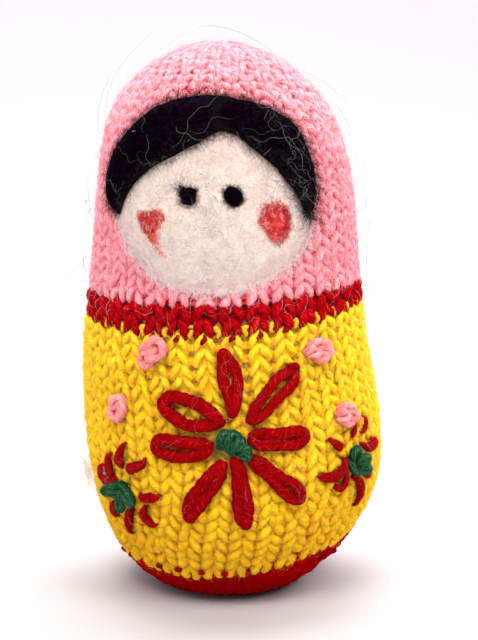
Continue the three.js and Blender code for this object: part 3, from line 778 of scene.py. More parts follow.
# ------------------------------------------------------------------ filling
th = np.linspace(0, 2 * np.pi, 181)[:-1]
ss = np.linspace(0.4, TOP - 0.4, 150)
TH, SS = np.meshgrid(th, ss, indexing="ij")
flat = skin(TH, SS, 0)
depth = -2.3 + 0.30 * noise(flat, 2.2, 3) + 0.15 * noise(flat, 0.9, 4)
pts = skin(TH, SS, depth)
uv = np.stack(np.broadcast_arrays(np.arange(181)[:, None] * 1.1, np.arange(150)[None, :] * 1.1), -1)
bk = np.stack(np.broadcast_arrays(np.linspace(0.01, 0.99, 181)[:, None], np.linspace(0.01, 0.99, 150)[None, :]), -1)
sh = Sheaf()
sh.grid(pts[:, ::-1], True, False, uv.astype(float), bk.astype(float), 0.7 + 0.3 * noise(flat, 1.2, 8)[:, ::-1])
for k, end in ((0, TOP), (1, 0.0)):
    ring = np.arange(180) * 150 + (0 if k == 0 else 149)
    c = sh.n
    sh.v.append(skin(np.zeros(1), np.array([end]), np.array([-2.2])))
    sh.n += 1
    nxt = np.roll(ring, -1)
    tri = np.stack([ring, nxt, np.full(180, c), np.full(180, c)], 1)
    if k == 0:
        tri = tri[:, [1, 0, 2, 3]]
    sh.f.append(tri)
    sh.uv.append(np.zeros((720, 2)))
    sh.bake.append(np.full((720, 2), 0.5))
    sh.tone.append(np.array([0.7]))
filling = sh.make("filling", M_FILL, ["stuffing_core"])

# ------------------------------------------------------------------ felted face, hair, eyes, cheeks
RAD = math.pi / 180
_PZ, _PR = [z for z, _ in PROFILE], [r for _, r in PROFILE]


def degree_mm(z):
    """Length in mm of one degree round the skin at height z."""
    return float(np.interp(z, _PZ, _PR)) * RAD


def local(centre, a, b):
    """Offsets a across and b up in mm, turned into [angle, height]."""
    return np.stack([centre[0] + np.asarray(a) / degree_mm(centre[1]), centre[1] + np.asarray(b)], -1)


FACE_AT = (-5.0, 85.0)
FACE_EDGE = [
    (36.7, 83.6), (36.9, 81.4), (34.9, 79.2), (31.3, 77.2), (27.0, 75.4), (23.0, 74.1), (17.0, 72.4), (10.6, 71.4),
    (3.7, 70.6), (-3.1, 70.2), (-10.0, 70.2), (-17.1, 70.6), (-23.1, 71.5), (-29.5, 73.2), (-34.9, 75.2), (-39.8, 77.3),
    (-44.2, 79.7), (-47.3, 81.8), (-49.2, 84.2), (-47.6, 87.5), (-44.0, 90.4), (-39.0, 92.7), (-33.4, 94.6),
    (-27.4, 96.1), (-20.8, 97.5), (-14.6, 99.1), (-10.0, 100.1), (-6.9, 101.1), (-3.0, 102.0), (0.8, 102.4),
    (4.8, 102.0), (8.7, 101.0), (11.7, 99.5), (14.9, 98.0), (18.7, 96.3), (22.2, 94.8), (25.0, 93.0), (27.9, 91.2),
    (30.3, 90.0), (33.3, 87.9), (35.6, 85.8)]
FACE_THICK = 2.3


def reach_of(points, centre, grow=0.0, soft=5):
    """Distance in mm from the centre to the outline, for a direction in degrees."""
    per = degree_mm(centre[1])
    q = np.array([((a - centre[0]) * per, z - centre[1]) for a, z in points])
    q2 = np.roll(q, -1, 0)
    ang = np.arange(360.0)
    d = np.stack([np.cos(ang * RAD), np.sin(ang * RAD)], -1)
    e = q2 - q
    den = d[:, None, 0] * e[None, :, 1] - d[:, None, 1] * e[None, :, 0]
    den = np.where(np.abs(den) < 1e-9, 1e-9, den)
    t = (q[None, :, 0] * e[None, :, 1] - q[None, :, 1] * e[None, :, 0]) / den
    k = (q[None, :, 0] * d[:, None, 1] - q[None, :, 1] * d[:, None, 0]) / den
    t = np.where((k >= -1e-6) & (k <= 1 + 1e-6) & (t > 0), t, 0).max(1)
    if soft:
        w = np.hanning(soft + 2)[1:-1]
        w /= w.sum()
        t = np.convolve(np.concatenate([t[-soft:], t, t[:soft]]), w, "same")[soft:-soft]
    table = np.append(t, t[0]) + grow
    return lambda a: np.interp(np.asarray(a) % 360, np.arange(361.0), table)


def dome(frac, thick, edge=2.4, power=0.5):
    return thick * np.clip(1 - np.clip(frac, 0, 1)**edge, 0, 1)**power


def pad_mesh(name, centre, reach, thick, under, material, node, rings=26, around=96,
             rough=0.12, size=1.6, seed=1, floor=-0.5, edge=2.4, thin=0.12, power=0.5):
    """A felted pad: domed and lumpy above, and sunk a little into what lies below."""
    per = degree_mm(centre[1])
    a = np.linspace(0, 360, around + 1)[:-1]
    f_up = np.concatenate([[0.02], np.linspace(0.06, 1, rings)**0.8])
    f_dn = f_up[::-1][1:]
    F = np.concatenate([f_up, f_dn])
    up = np.concatenate([np.ones(len(f_up)), np.zeros(len(f_dn))])
    A, FF = np.meshgrid(a, F, indexing="ij")
    R = FF * reach(A)
    ang = centre[0] + R * np.cos(A * RAD) / per
    z = centre[1] + R * np.sin(A * RAD)
    flat = skin(ang * RAD, arc_of(z), 0)
    lump = rough * noise(flat, size, seed) + 0.4 * rough * noise(flat, size * 0.35, seed + 1)
    lift = np.where(up[None, :] > 0, under(ang, z) + dome(FF, thick, edge, power) + lump * np.sqrt(np.clip(dome(FF, 1.0), 0, 1)),
                    floor + 0 * ang)
    pts = skin(ang * RAD, arc_of(z), lift)
    n = len(F)
    uv = np.stack([R * np.cos(A * RAD), R * np.sin(A * RAD)], -1)
    uv = np.concatenate([uv, uv[:1]], 0)
    side = np.where(up > 0, 0.25, 0.75)
    bk = np.stack([side[None, :] + 0.24 * FF * np.cos(A * RAD), 0.5 + 0.48 * FF * np.sin(A * RAD)], -1)
    bk = np.concatenate([bk, bk[:1]], 0)
    s = Sheaf()
    s.grid(pts, True, False, uv, bk, np.clip((1 - FF) / thin, 0, 1))
    for k in (0, 1):
        ring = np.arange(around) * n + (0 if k == 0 else n - 1)
        c = s.n
        s.v.append(np.array([pts[:, 0 if k == 0 else -1].mean(0)]))
        s.n += 1
        nxt = np.roll(ring, -1)
        tri = np.stack([ring, nxt, np.full(around, c), np.full(around, c)], 1)
        if k == 1:
            tri = tri[:, [1, 0, 2, 3]]
        s.f.append(tri)
        s.uv.append(np.zeros((around * 4, 2)))
        s.bake.append(np.full((around * 4, 2), 0.25 if k == 0 else 0.75))
        s.tone.append(np.array([1.0]))
    return s.make(name, material, [node])


FACE_PER = degree_mm(FACE_AT[1])
face_reach = reach_of(FACE_EDGE, FACE_AT, soft=9)


def on_face(ang, z):
    du, dv = (ang - FACE_AT[0]) * FACE_PER, z - FACE_AT[1]
    f = np.hypot(du, dv) / face_reach(np.degrees(np.arctan2(dv, du)))
    return dome(f, FACE_THICK, 2.5, 0.88)


zero = lambda ang, z: 0 * ang
face = pad_mesh("face_felt", FACE_AT, face_reach, FACE_THICK, zero, M_CREAM, "felt_face",
                rings=44, around=160, rough=0.10, size=2.4, seed=21, edge=2.5, power=0.88)

# the hair from the left tip over the parting to the right tip: its outer and its inner edge
HAIR_OUT = [
    (-49.6, 84.1), (-57.6, 86.6), (-60.0, 90.3), (-58.5, 94.7), (-54.8, 98.1), (-49.2, 100.7), (-44.2, 102.8),
    (-38.5, 104.8), (-32.1, 106.4), (-23.7, 107.6), (-16.2, 108.2), (-8.8, 108.5), (-2.4, 108.5), (4.7, 108.2),
    (10.8, 107.6), (17.8, 107.1), (24.5, 106.1), (30.1, 104.7), (34.1, 103.6), (37.5, 101.5), (39.7, 98.6),
    (40.8, 96.5), (41.5, 93.6), (41.3, 91.1), (40.4, 88.2), (39.0, 85.7), (37.0, 83.6)]
HAIR_IN = [
    (-47.6, 84.1), (-45.9, 86.9), (-42.7, 89.5), (-38.0, 91.7), (-32.7, 93.6), (-26.9, 95.1), (-20.5, 96.5),
    (-14.4, 98.1), (-9.9, 99.0), (-6.9, 100.0), (-3.0, 100.9), (0.8, 101.4), (4.5, 101.0), (8.1, 100.0),
    (11.3, 98.8), (14.7, 97.5), (18.6, 95.9), (22.0, 94.6), (24.9, 92.9), (27.8, 91.0), (30.0, 89.7), (32.7, 87.4),
    (34.6, 85.5), (35.8, 83.8)]
HAIR_THICK = 1.9


def resample(points, n):
    q = catmull(points, 12)
    xy = q * [0.5, 1.0]
    d = np.concatenate([[0], np.cumsum(np.hypot(*np.diff(xy, axis=0).T))])
    k = np.linspace(0, d[-1], n)
    return np.stack([np.interp(k, d, q[:, 0]), np.interp(k, d, q[:, 1])], -1)


HD = np.hstack([resample(HAIR_OUT, 200), resample(HAIR_IN, 200)])


def hair_point(s, t):
    """s from 0 to 1 along the hair, t from 0 at the inner edge to 1 at the outer edge."""
    k = np.clip(s, 0, 1) * (len(HD) - 1)
    v = np.stack([np.interp(k, np.arange(len(HD)), HD[:, c]) for c in range(4)], -1)
    return v[..., 2] + (v[..., 0] - v[..., 2]) * t, v[..., 3] + (v[..., 1] - v[..., 3]) * t


n_s, n_t = 170, 32
S = np.linspace(0, 1, n_s)
ring_t = 2 * np.pi * np.arange(n_t) / n_t
SS2, RT = np.meshgrid(S, ring_t, indexing="ij")
TT = 0.5 - 0.5 * np.cos(RT)
ang, z = hair_point(SS2, TT)
up = np.maximum(np.sin(RT), 0)
flat = skin(ang * RAD, arc_of(z), 0)
taper = np.clip(np.sin(np.pi * np.clip(SS2, 0.004, 0.996)) * 3.2, 0, 1)**0.6
# a shallow furrow where the two sweeps part
part = 1 - 0.38 * np.exp(-((SS2 - 0.535) / 0.018)**2) * (1 - TT)
lift = np.where(np.sin(RT) >= 0, HAIR_THICK * up**0.7 * taper * part
                + (0.14 * noise(flat, 2.6, 31) + 0.05 * noise(flat, 0.9, 32)) * up, -0.5)
pts = skin(ang * RAD, arc_of(z), lift)
pts[0] = pts[0].mean(0); pts[-1] = pts[-1].mean(0)
uv = np.stack(np.broadcast_arrays(S[:, None] * 60, np.linspace(0, 12, n_t + 1)[None, :]), -1)
bk = np.stack(np.broadcast_arrays(0.01 + 0.98 * S[:, None], np.linspace(0.01, 0.99, n_t + 1)[None, :]), -1)
sh = Sheaf()
tips = pts[[0, -1], 0]
sh.grid(pts[1:-1], False, True, uv[1:-1].copy(), bk[1:-1].copy(), 0.7)
for k in (0, 1):
    c = sh.n
    ring = np.arange(n_t) + (0 if k == 0 else (n_s - 3) * n_t)
    sh.v.append(tips[k][None]); sh.n += 1
    nxt = np.roll(ring, -1)
    tri = np.stack([ring, nxt, np.full(n_t, c), np.full(n_t, c)], 1)
    if k == 0:
        tri = tri[:, [1, 0, 2, 3]]
    sh.f.append(tri)
    sh.uv.append(np.zeros((n_t * 4, 2))); sh.bake.append(np.full((n_t * 4, 2), 0.01 + 0.98 * k)); sh.tone.append(np.array([0.7]))
hair = sh.make("hair_felt", M_BLACK, ["felt_hair"])

CHEEK_LEFT = [
    (-36.1, 84.8), (-33.9, 85.1), (-30.7, 84.8), (-28.3, 85.1), (-26.0, 85.4), (-24.3, 85.0), (-23.1, 83.7),
    (-25.0, 83.0), (-27.5, 81.9), (-28.3, 81.0), (-30.3, 80.8), (-32.2, 81.4), (-33.9, 82.4), (-35.2, 83.5)]
CHEEK_RIGHT = [
    (16.0, 86.9), (21.1, 87.2), (25.6, 86.3), (26.8, 84.3), (26.3, 82.3), (25.1, 80.3), (22.9, 79.3), (20.6, 78.7),
    (17.7, 79.9), (16.1, 81.4), (13.6, 83.1), (13.5, 84.1), (14.7, 85.8)]
EYE_LEFT = [
    (-17.2, 89.5), (-16.2, 90.2), (-12.6, 90.3), (-10.2, 89.9), (-10.2, 88.5), (-10.8, 87.1), (-12.5, 86.6),
    (-15.3, 86.7), (-16.8, 88.1)]
EYE_RIGHT = [
    (-0.3, 89.4), (1.8, 90.6), (5.1, 90.3), (7.4, 89.2), (7.4, 87.5), (5.7, 86.3), (3.0, 86.3), (1.0, 87.2), (-0.3, 88.6)]
PATCHES = {}
for k, (name, at, edge_pts, thick, mat, slot, grow) in enumerate((
        ("eye_left", (-13.6, 88.5), EYE_LEFT, 0.5, M_BLACK, "black_felt", -0.1),
        ("eye_right", (3.7, 88.4), EYE_RIGHT, 0.5, M_BLACK, "black_felt", -0.1),
        ("cheek_left", (-29.4, 83.2), CHEEK_LEFT, 0.22, M_CORAL, "coral_felt", -0.75),
        ("cheek_right", (20.4, 83.4), CHEEK_RIGHT, 0.22, M_CORAL, "coral_felt", -0.75))):
    reach = reach_of(edge_pts, at, grow, soft=5)
    PATCHES[name] = (at, reach)
    pad_mesh(name + "_felt", at, reach, thick, on_face, mat, name,
             rings=14, around=72, rough=0.10, size=0.9, seed=40 + k, floor=0.6, edge=3.0, thin=0.10)

# ------------------------------------------------------------------ embroidery
SEWN = {}


def laid(points, lifts, per=8, closed=False):
    """A path over the skin through points of [angle, height] with a lift for each."""
    c = catmull(np.column_stack([np.asarray(points, float), lifts]), per, closed)
    s = arc_of(c[:, 1])
    return skin(c[:, 0] * RAD, s, c[:, 2]), normal(c[:, 0] * RAD, s), c


def strand(sheaf, points, wide, rise=0.7, dive=(1.5, 1.5), flat=0.62, turn=3.4, depth=0.06, seed=0, band=(0, 1), per=8,
           lifts=None, sides=16, run=0.35, ends=0.6, ply_valley_shade=0.12, rough=1.0, underside_shade_power=0.8):
    """One length of embroidery yarn that comes up through the fabric, lies on it and goes down again.

    wide is its width, one for all or one for each point."""
    p = np.asarray(points, float)
    m = degree_mm(float(p[:, 1].mean()))
    q = p * [m, 1.0]
    first = q[0] + (q[0] - q[1]) / np.linalg.norm(q[0] - q[1]) * run
    last = q[-1] + (q[-1] - q[-2]) / np.linalg.norm(q[-1] - q[-2]) * run
    q = np.vstack([first, q, last]) / [m, 1.0]
    n = len(q)
    ww = np.broadcast_to(np.asarray(wide, float), (len(p),))
    ww = np.concatenate([[ww[0] * ends], ww, [ww[-1] * ends]])
    if lifts is None:
        lf = rise * (0.35 + 0.65 * np.clip(ww / 1.6, 0, 1))
        lf[1] *= 0.6; lf[-2] *= 0.6
    else:
        lf = np.concatenate([[0], lifts, [0]]).astype(float)
    lf[0], lf[-1] = rise - dive[0], rise - dive[1]
    path, up, c = laid(q, lf, per)
    k = np.linspace(0, n - 1, len(path))
    rad = np.maximum(np.interp(k, np.arange(n), ww), 0.25) / 2
    rad = rad * (1 + 0.08 * rough * noise(path, 1.6, seed) + 0.05 * rough * noise(path, 0.7, seed + 9))
    sheaf.tube(path, up, rad, sides=sides, lobes=3, depth=depth, turn=turn, flat=flat, band=band, ply_valley_shade=ply_valley_shade, underside_shade_power=underside_shade_power)


# each petal is one loop of yarn, out along the first list and back along the second, with the yarn's width
PETALS = {
    "petal_top": (
        [(1.6, 44.7), (2.8, 46.8), (3.6, 49.1), (4.3, 51.5), (4.0, 53.6), (1.9, 55.6), (0.1, 57.0)],
        [(-0.4, 56.8), (-0.5, 55.2), (-0.8, 53.0), (-0.7, 51.1), (0.4, 48.9), (1.0, 46.8), (1.2, 44.7)],
        2.3),
    "petal_upper_right": (
        [(7.3, 43.4), (9.0, 45.7), (12.0, 47.6), (15.1, 49.6), (18.3, 51.5), (21.9, 52.6), (24.9, 53.4)],
        [(26.0, 53.1), (25.6, 51.4), (23.4, 49.8), (20.0, 48.4), (16.9, 47.0), (13.8, 45.3), (10.0, 43.8), (7.7, 43.2)],
        2.15),
    "petal_right": (
        [(7.1, 39.4), (9.9, 38.4), (13.5, 38.4), (17.2, 38.2), (20.7, 38.1), (23.9, 38.1), (26.8, 39.2)],
        [(26.6, 40.0), (23.5, 40.8), (20.6, 40.6), (17.4, 40.4), (13.9, 40.6), (10.4, 40.7), (7.4, 40.2)],
        2.55),
    "petal_lower_right": (
        [(6.5, 35.1), (8.4, 33.8), (11.5, 32.0), (14.9, 30.1), (17.9, 28.1), (21.1, 26.6), (23.8, 26.2)],
        [(24.5, 26.6), (23.9, 28.2), (21.1, 30.0), (17.2, 31.3), (13.5, 33.0), (10.1, 34.9), (7.2, 35.7)],
        2.3),
    "petal_bottom": (
        [(0.5, 35.2), (1.0, 32.9), (1.1, 30.4), (1.1, 27.9), (1.1, 25.3), (2.0, 23.1), (3.9, 21.5)],
        [(4.4, 21.5), (4.6, 23.3), (4.7, 25.5), (3.9, 28.1), (3.1, 30.6), (2.5, 33.1), (1.0, 35.3)],
        2.4),
    "petal_lower_left": (
        [(-4.3, 34.5), (-7.2, 32.7), (-10.4, 30.7), (-13.1, 28.8), (-16.0, 26.7), (-17.4, 24.6), (-17.1, 23.0)],
        [(-16.5, 23.0), (-14.9, 24.2), (-12.9, 25.6), (-10.4, 27.5), (-7.7, 29.5), (-5.2, 32.0), (-3.9, 34.4)],
        2.65),
    "petal_left": (
        [(-7.4, 38.3), (-10.0, 38.7), (-14.0, 38.7), (-18.5, 38.8), (-22.8, 39.0), (-26.0, 38.7), (-27.7, 37.5)],
        [(-27.5, 36.7), (-25.7, 36.2), (-22.9, 35.8), (-19.1, 35.6), (-14.5, 35.9), (-10.3, 36.6), (-7.9, 37.6)],
        2.6),
    "petal_upper_left": (
        [(-2.9, 42.9), (-4.5, 44.1), (-6.8, 45.4), (-9.6, 46.6), (-12.7, 47.2), (-15.7, 47.7), (-19.0, 48.0), (-21.9, 47.6), (-23.2, 46.6)],
        [(-23.2, 45.8), (-22.2, 44.9), (-19.9, 43.9), (-17.3, 42.9), (-14.1, 42.3), (-10.5, 42.3), (-7.3, 42.5), (-4.4, 42.8)],
        2.75),
}
for k, (name, (go, back, wide)) in enumerate(PETALS.items()):
    sh = Sheaf()
    pts2 = go + back
    n = len(pts2)
    lf = 0.54 + 0.10 * np.sin(np.arange(n) * 2.3 + k)
    lf[0] = lf[-1] = 0.15
    ww = np.full(n, wide)
    ww[[0, -1]] = wide * 0.8
    strand(sh, pts2, ww, 0.7, seed=60 + k, band=(0, 0.8), lifts=lf, sides=21, per=11, depth=0.05 + 0.03 * math.sin(k * 1.7)**2, turn=5.6 + 1.2 * math.sin(k * 2.6), ply_valley_shade=0.13, rough=1.5)
    if name == "petal_upper_right":
        # the small stitch that holds its tip
        strand(sh, [(24.2, 54.2), (25.8, 54.3), (27.1, 53.5)], 1.0, 1.5, dive=(1.6, 1.8), seed=80, band=(0.85, 1),
               lifts=[1.0, 1.55, 0.9], sides=10, flat=0.9)
    sh.make(name + "_yarn", M_THREAD, [name])
    SEWN[name] = sh

SMALL_LEFT = [
    ([(-42.8, 36.7), (-44.5, 35.3), (-45.7, 33.9), (-46.1, 32.8), (-46.1, 31.4)], [0.60, 1.15, 1.85, 2.25, 0.65]),
    ([(-52.0, 33.6), (-53.7, 32.4), (-52.8, 31.2), (-52.1, 29.5)], [0.6, 1.24, 1.46, 1.01]),
    ([(-42.1, 31.4), (-39.8, 31.8), (-36.8, 32.5), (-34.2, 33.2), (-33.7, 34.2)], [1.6, 2.2, 1.91, 1.48, 0.56]),
    ([(-57.6, 30.1), (-60.5, 28.9), (-59.8, 27.8), (-57.2, 27.0), (-53.0, 27.4), (-50.6, 28.4)], [1.3, 1.6, 1.65, 1.6, 1.4, 1.1]),
    ([(-37.6, 25.9), (-35.5, 25.7), (-33.3, 26.0), (-31.2, 26.2), (-30.1, 26.3)], [1.35, 2.2, 1.87, 2.09, 1.35]),
    ([(-36.5, 23.3), (-37.0, 22.0), (-35.5, 20.9), (-33.4, 20.0), (-32.1, 19.7)], [0.79, 1.69, 2.02, 1.46, 0.56]),
    ([(-43.5, 22.3), (-44.9, 20.8), (-46.2, 19.2), (-47.3, 17.5), (-47.1, 16.3)], [1.24, 1.8, 1.91, 1.35, 0.45]),
    ([(-55.0, 22.1), (-55.7, 20.8), (-54.6, 19.8)], [1.24, 1.69, 1.24])]
SMALL_RIGHT = [
    ([(38.5, 37.8), (39.6, 37.2), (41.2, 36.5), (42.8, 35.9)], [0.9, 1.55, 1.75, 1.4]),
    ([(53.1, 40.0), (51.5, 39.3), (50.3, 38.6), (49.9, 37.6)], [0.45, 1.01, 1.24, 0.72]),
    ([(59.7, 40.8), (59.5, 39.8), (58.4, 38.7), (57.1, 37.8)], [0.4, 0.85, 0.85, 0.5]),
    ([(56.0, 35.2), (59.1, 34.4), (63.1, 34.1), (65.9, 34.7), (64.8, 35.4)], [0.79, 1.8, 2.02, 1.46, 0.72]),
    ([(33.2, 30.6), (35.8, 30.2), (38.8, 30.2), (41.6, 30.9), (43.5, 31.9), (44.1, 33.2)], [1.5, 2.15, 2.2, 2.05, 1.6, 0.9]),
    ([(40.1, 27.7), (42.6, 27.3), (44.5, 28.3), (45.0, 29.9), (44.7, 31.4)], [1.24, 1.51, 1.51, 1.01, 0.67]),
    ([(50.3, 28.8), (52.8, 27.6), (54.9, 26.0), (55.5, 24.4), (54.8, 23.2), (54.5, 22.1)], [1.12, 1.35, 1.57, 1.57, 1.24, 0.67]),
    ([(57.7, 28.6), (60.4, 27.9), (61.9, 28.2)], [1.01, 1.24, 0.9])]
for side, table in (("left", SMALL_LEFT), ("right", SMALL_RIGHT)):
    for i, (pts2, wide) in enumerate(table):
        sh = Sheaf()
        # the yarn spreads where it runs up the side of the doll
        way = np.gradient(np.array(pts2) * [degree_mm(pts2[0][1]), 1.0], axis=0)
        steep = np.abs(way[:, 1]) / np.maximum(np.hypot(way[:, 0], way[:, 1]), 1e-6)
        spread = 1 + 0.5 * (1 / np.cos(np.radians(np.minimum(np.abs(np.array(pts2)[:, 0]), 58))) - 1) * steep
        strand(sh, pts2, np.array(wide) * 1.04 * spread, 0.62, seed=100 + i, sides=18, run=0.15, turn=3.2, depth=0.11, ply_valley_shade=0.22, rough=1.9)
        name = f"stitch_{side}_{i + 1}"
        if name == "stitch_left_4":
            # its middle is filled by a second pass of the yarn
            strand(sh, [(-59.6, 28.9), (-57.0, 28.1), (-53.6, 28.2)], 1.3, 0.75, seed=140, sides=14, run=0.15, turn=3.2, ply_valley_shade=0.2)
            strand(sh, [(-58.2, 29.8), (-55.4, 29.0), (-52.8, 28.9)], 1.0, 0.55, seed=141, sides=12, run=0.15, turn=3.2, ply_valley_shade=0.2)
        sh.make(name + "_yarn", M_THREAD, [name])
        SEWN[name] = sh

GREEN = {
    "flower_centre": [
        ([(-3.9, 38.3), (-3.7, 40.0), (-2.4, 41.0), (-0.9, 41.0), (-0.6, 39.5), (-1.3, 37.7)], 1.55, 0.05),
        ([(-1.9, 38.1), (-1.0, 39.8), (0.6, 41.0), (2.4, 40.7), (2.3, 39.5), (0.8, 37.9)], 1.6, 0.55),
        ([(0.5, 37.9), (1.6, 39.4), (3.0, 39.9), (4.1, 39.3), (3.4, 38.0)], 1.5, 0.15),
        ([(-0.3, 37.1), (2.0, 38.0), (4.5, 38.3), (5.7, 37.6), (4.5, 36.5), (2.3, 36.7)], 1.5, 0.45),
        ([(2.7, 36.7), (4.0, 37.3), (5.1, 36.9), (4.9, 36.1), (3.6, 36.2)], 1.35, 0.9),
    ],
    "small_centre_left": [
        ([(-46.3, 27.5), (-50.8, 27.1), (-55.8, 26.0), (-59.6, 24.8), (-57.3, 24.6), (-53.2, 24.9), (-50.2, 24.6)], 1.4, 0.1),
        ([(-48.6, 25.8), (-51.5, 25.9), (-54.5, 25.4), (-57.0, 24.9)], 1.2, 0.0),
        ([(-47.6, 25.8), (-48.8, 24.2), (-49.0, 22.8), (-47.8, 22.2), (-46.2, 23.1), (-45.8, 24.6), (-45.9, 25.8)], 1.45, 0.4),
        ([(-46.8, 27.6), (-43.6, 27.3), (-41.6, 26.5), (-40.7, 25.4), (-40.6, 24.4), (-42.3, 24.0), (-43.5, 24.9), (-44.4, 26.1)], 1.5, 0.2),
    ],
    "small_centre_right": [
        ([(47.9, 32.8), (46.5, 34.0), (47.3, 35.0), (49.6, 35.4), (51.2, 34.6), (51.0, 33.4)], 1.5, 0.15),
        ([(49.5, 31.7), (50.3, 32.7), (52.8, 33.3), (55.7, 32.9), (56.6, 32.2), (54.0, 31.9), (50.8, 31.8)], 1.5, 0.6),
        ([(51.2, 30.4), (53.6, 30.8), (56.8, 30.6), (58.1, 29.8), (55.9, 29.5), (52.1, 29.9)], 1.5, 0.4),
        ([(46.6, 32.6), (46.6, 31.2), (47.9, 30.2), (50.6, 29.6), (53.3, 29.6)], 1.4, 0.0),
    ],
}
for name, loops in GREEN.items():
    sh = Sheaf()
    mid = np.mean([q for pts2, _, _ in loops for q in pts2], axis=0)
    for k, (pts2, wide, up_by) in enumerate(loops):
        n = len(pts2)
        if name == "small_centre_right":
            pts2 = mid + (np.array(pts2) - mid) * [0.86, 0.94]
        lf = 0.60 + up_by + 0.45 * np.sin(np.pi * np.arange(n) / (n - 1))
        lf[0] = lf[-1] = 0.3
        strand(sh, pts2, wide, 0.75 + up_by, seed=200 + k, band=(k / len(loops), (k + 1) / len(loops)),
               lifts=lf, sides=18, depth=0.06, turn=4.4, flat=0.95, ends=0.75, ply_valley_shade=0.22, underside_shade_power=2.4)
    sh.make(name + "_yarn", M_GREEN, [name])
    SEWN[name] = sh

# each knot is a few turns of one soft yarn, heaped on one another
KNOTS = {
    "knot_upper_left": [
        ([(-28.8, 55.5), (-26.6, 55.5), (-24.0, 55.9), (-22.5, 57.0), (-22.6, 58.4), (-24.3, 59.2), (-26.6, 59.2), (-28.0, 58.4), (-27.8, 57.7)], 1.75, 1.15),
        ([(-31.9, 57.2), (-30.6, 57.7), (-28.7, 57.3), (-27.3, 56.8), (-28.6, 56.4), (-30.8, 56.6)], 1.5, 1.1),
        ([(-32.2, 55.5), (-32.1, 54.5), (-30.4, 53.9), (-28.3, 54.3)], 1.7, 0.8),
        ([(-27.9, 58.2), (-26.2, 57.6), (-26.2, 56.6), (-27.6, 56.6)], 1.4, 0.85),
    ],
    "knot_upper_right": [
        ([(31.0, 56.6), (32.3, 57.3), (34.3, 57.1), (36.0, 56.3), (34.6, 55.7), (32.4, 55.9)], 1.85, 1.1),
        ([(33.2, 57.8), (35.8, 58.5), (38.7, 58.5), (41.3, 58.0), (42.6, 57.1)], 1.9, 0.95),
        ([(37.5, 57.0), (40.0, 57.1), (42.7, 56.7), (43.6, 55.9), (41.5, 55.4)], 1.8, 1.2),
        ([(36.1, 54.8), (38.2, 54.5), (40.6, 54.9), (41.6, 55.5), (39.8, 55.9), (38.0, 55.9)], 1.8, 0.95),
        ([(36.6, 57.5), (37.9, 56.6), (37.2, 55.6)], 1.3, 0.8),
    ],
    "knot_lower_left": [
        ([(-45.4, 44.9), (-45.6, 45.9), (-43.2, 46.8), (-41.0, 46.2), (-39.9, 45.0), (-40.7, 43.6), (-43.1, 42.6)], 1.75, 1.1),
        ([(-43.3, 44.8), (-46.0, 44.3), (-48.0, 43.4), (-47.0, 42.4), (-45.1, 41.6)], 1.75, 1.0),
        ([(-43.4, 43.9), (-44.0, 42.6), (-45.0, 41.5)], 1.7, 0.8),
        ([(-44.9, 45.0), (-43.2, 45.2), (-42.0, 44.2)], 1.9, 1.0),
    ],
    "knot_lower_right": [
        ([(42.0, 43.2), (42.8, 43.8), (44.5, 43.6), (46.2, 42.6), (44.6, 41.6), (41.8, 41.8)], 1.8, 1.1),
        ([(43.2, 44.2), (45.0, 44.9), (47.8, 44.9), (50.4, 44.5), (52.0, 43.6)], 1.8, 0.95),
        ([(47.0, 43.1), (49.7, 43.3), (52.7, 42.7), (53.1, 41.7), (51.3, 41.1)], 1.75, 1.15),
        ([(52.6, 40.4), (49.4, 40.1), (46.1, 40.3), (43.1, 41.0)], 1.7, 0.85),
        ([(47.0, 43.4), (47.6, 42.1), (49.1, 41.1)], 1.4, 1.3),
    ],
}
PULL = {"knot_upper_right": (0.78, 0.95), "knot_lower_right": (0.70, 0.82), "knot_lower_left": (0.95, 0.90)}
for name, turns in KNOTS.items():
    sh = Sheaf()
    mid = np.mean([q for pts2, _, _ in turns for q in pts2], axis=0)
    for k, (pts2, wide, up_by) in enumerate(turns):
        pts2 = mid + (np.array(pts2) - mid) * PULL.get(name, (1.0, 1.0))
        wide = wide * (0.5 + 0.5 * PULL.get(name, (1.0, 1.0))[0])
        n = len(pts2)
        lf = up_by + 0.30 * np.sin(np.arange(n) * 1.9 + k)
        lf[0] = lf[-1] = up_by - 0.45
        swell = wide * (1 + 0.20 * np.sin(np.arange(n) * 2.4 + 1.3 * k))
        strand(sh, pts2, swell, up_by, dive=(1.9, 1.9), seed=150 + k, band=(k / len(turns), (k + 1) / len(turns)),
               lifts=lf, sides=14, depth=0.08, turn=4.6, flat=0.9, run=0.1, ends=0.7, ply_valley_shade=0.2, underside_shade_power=1.5)
    sh.make(name + "_yarn", M_ROSE, [name])
    SEWN[name] = sh


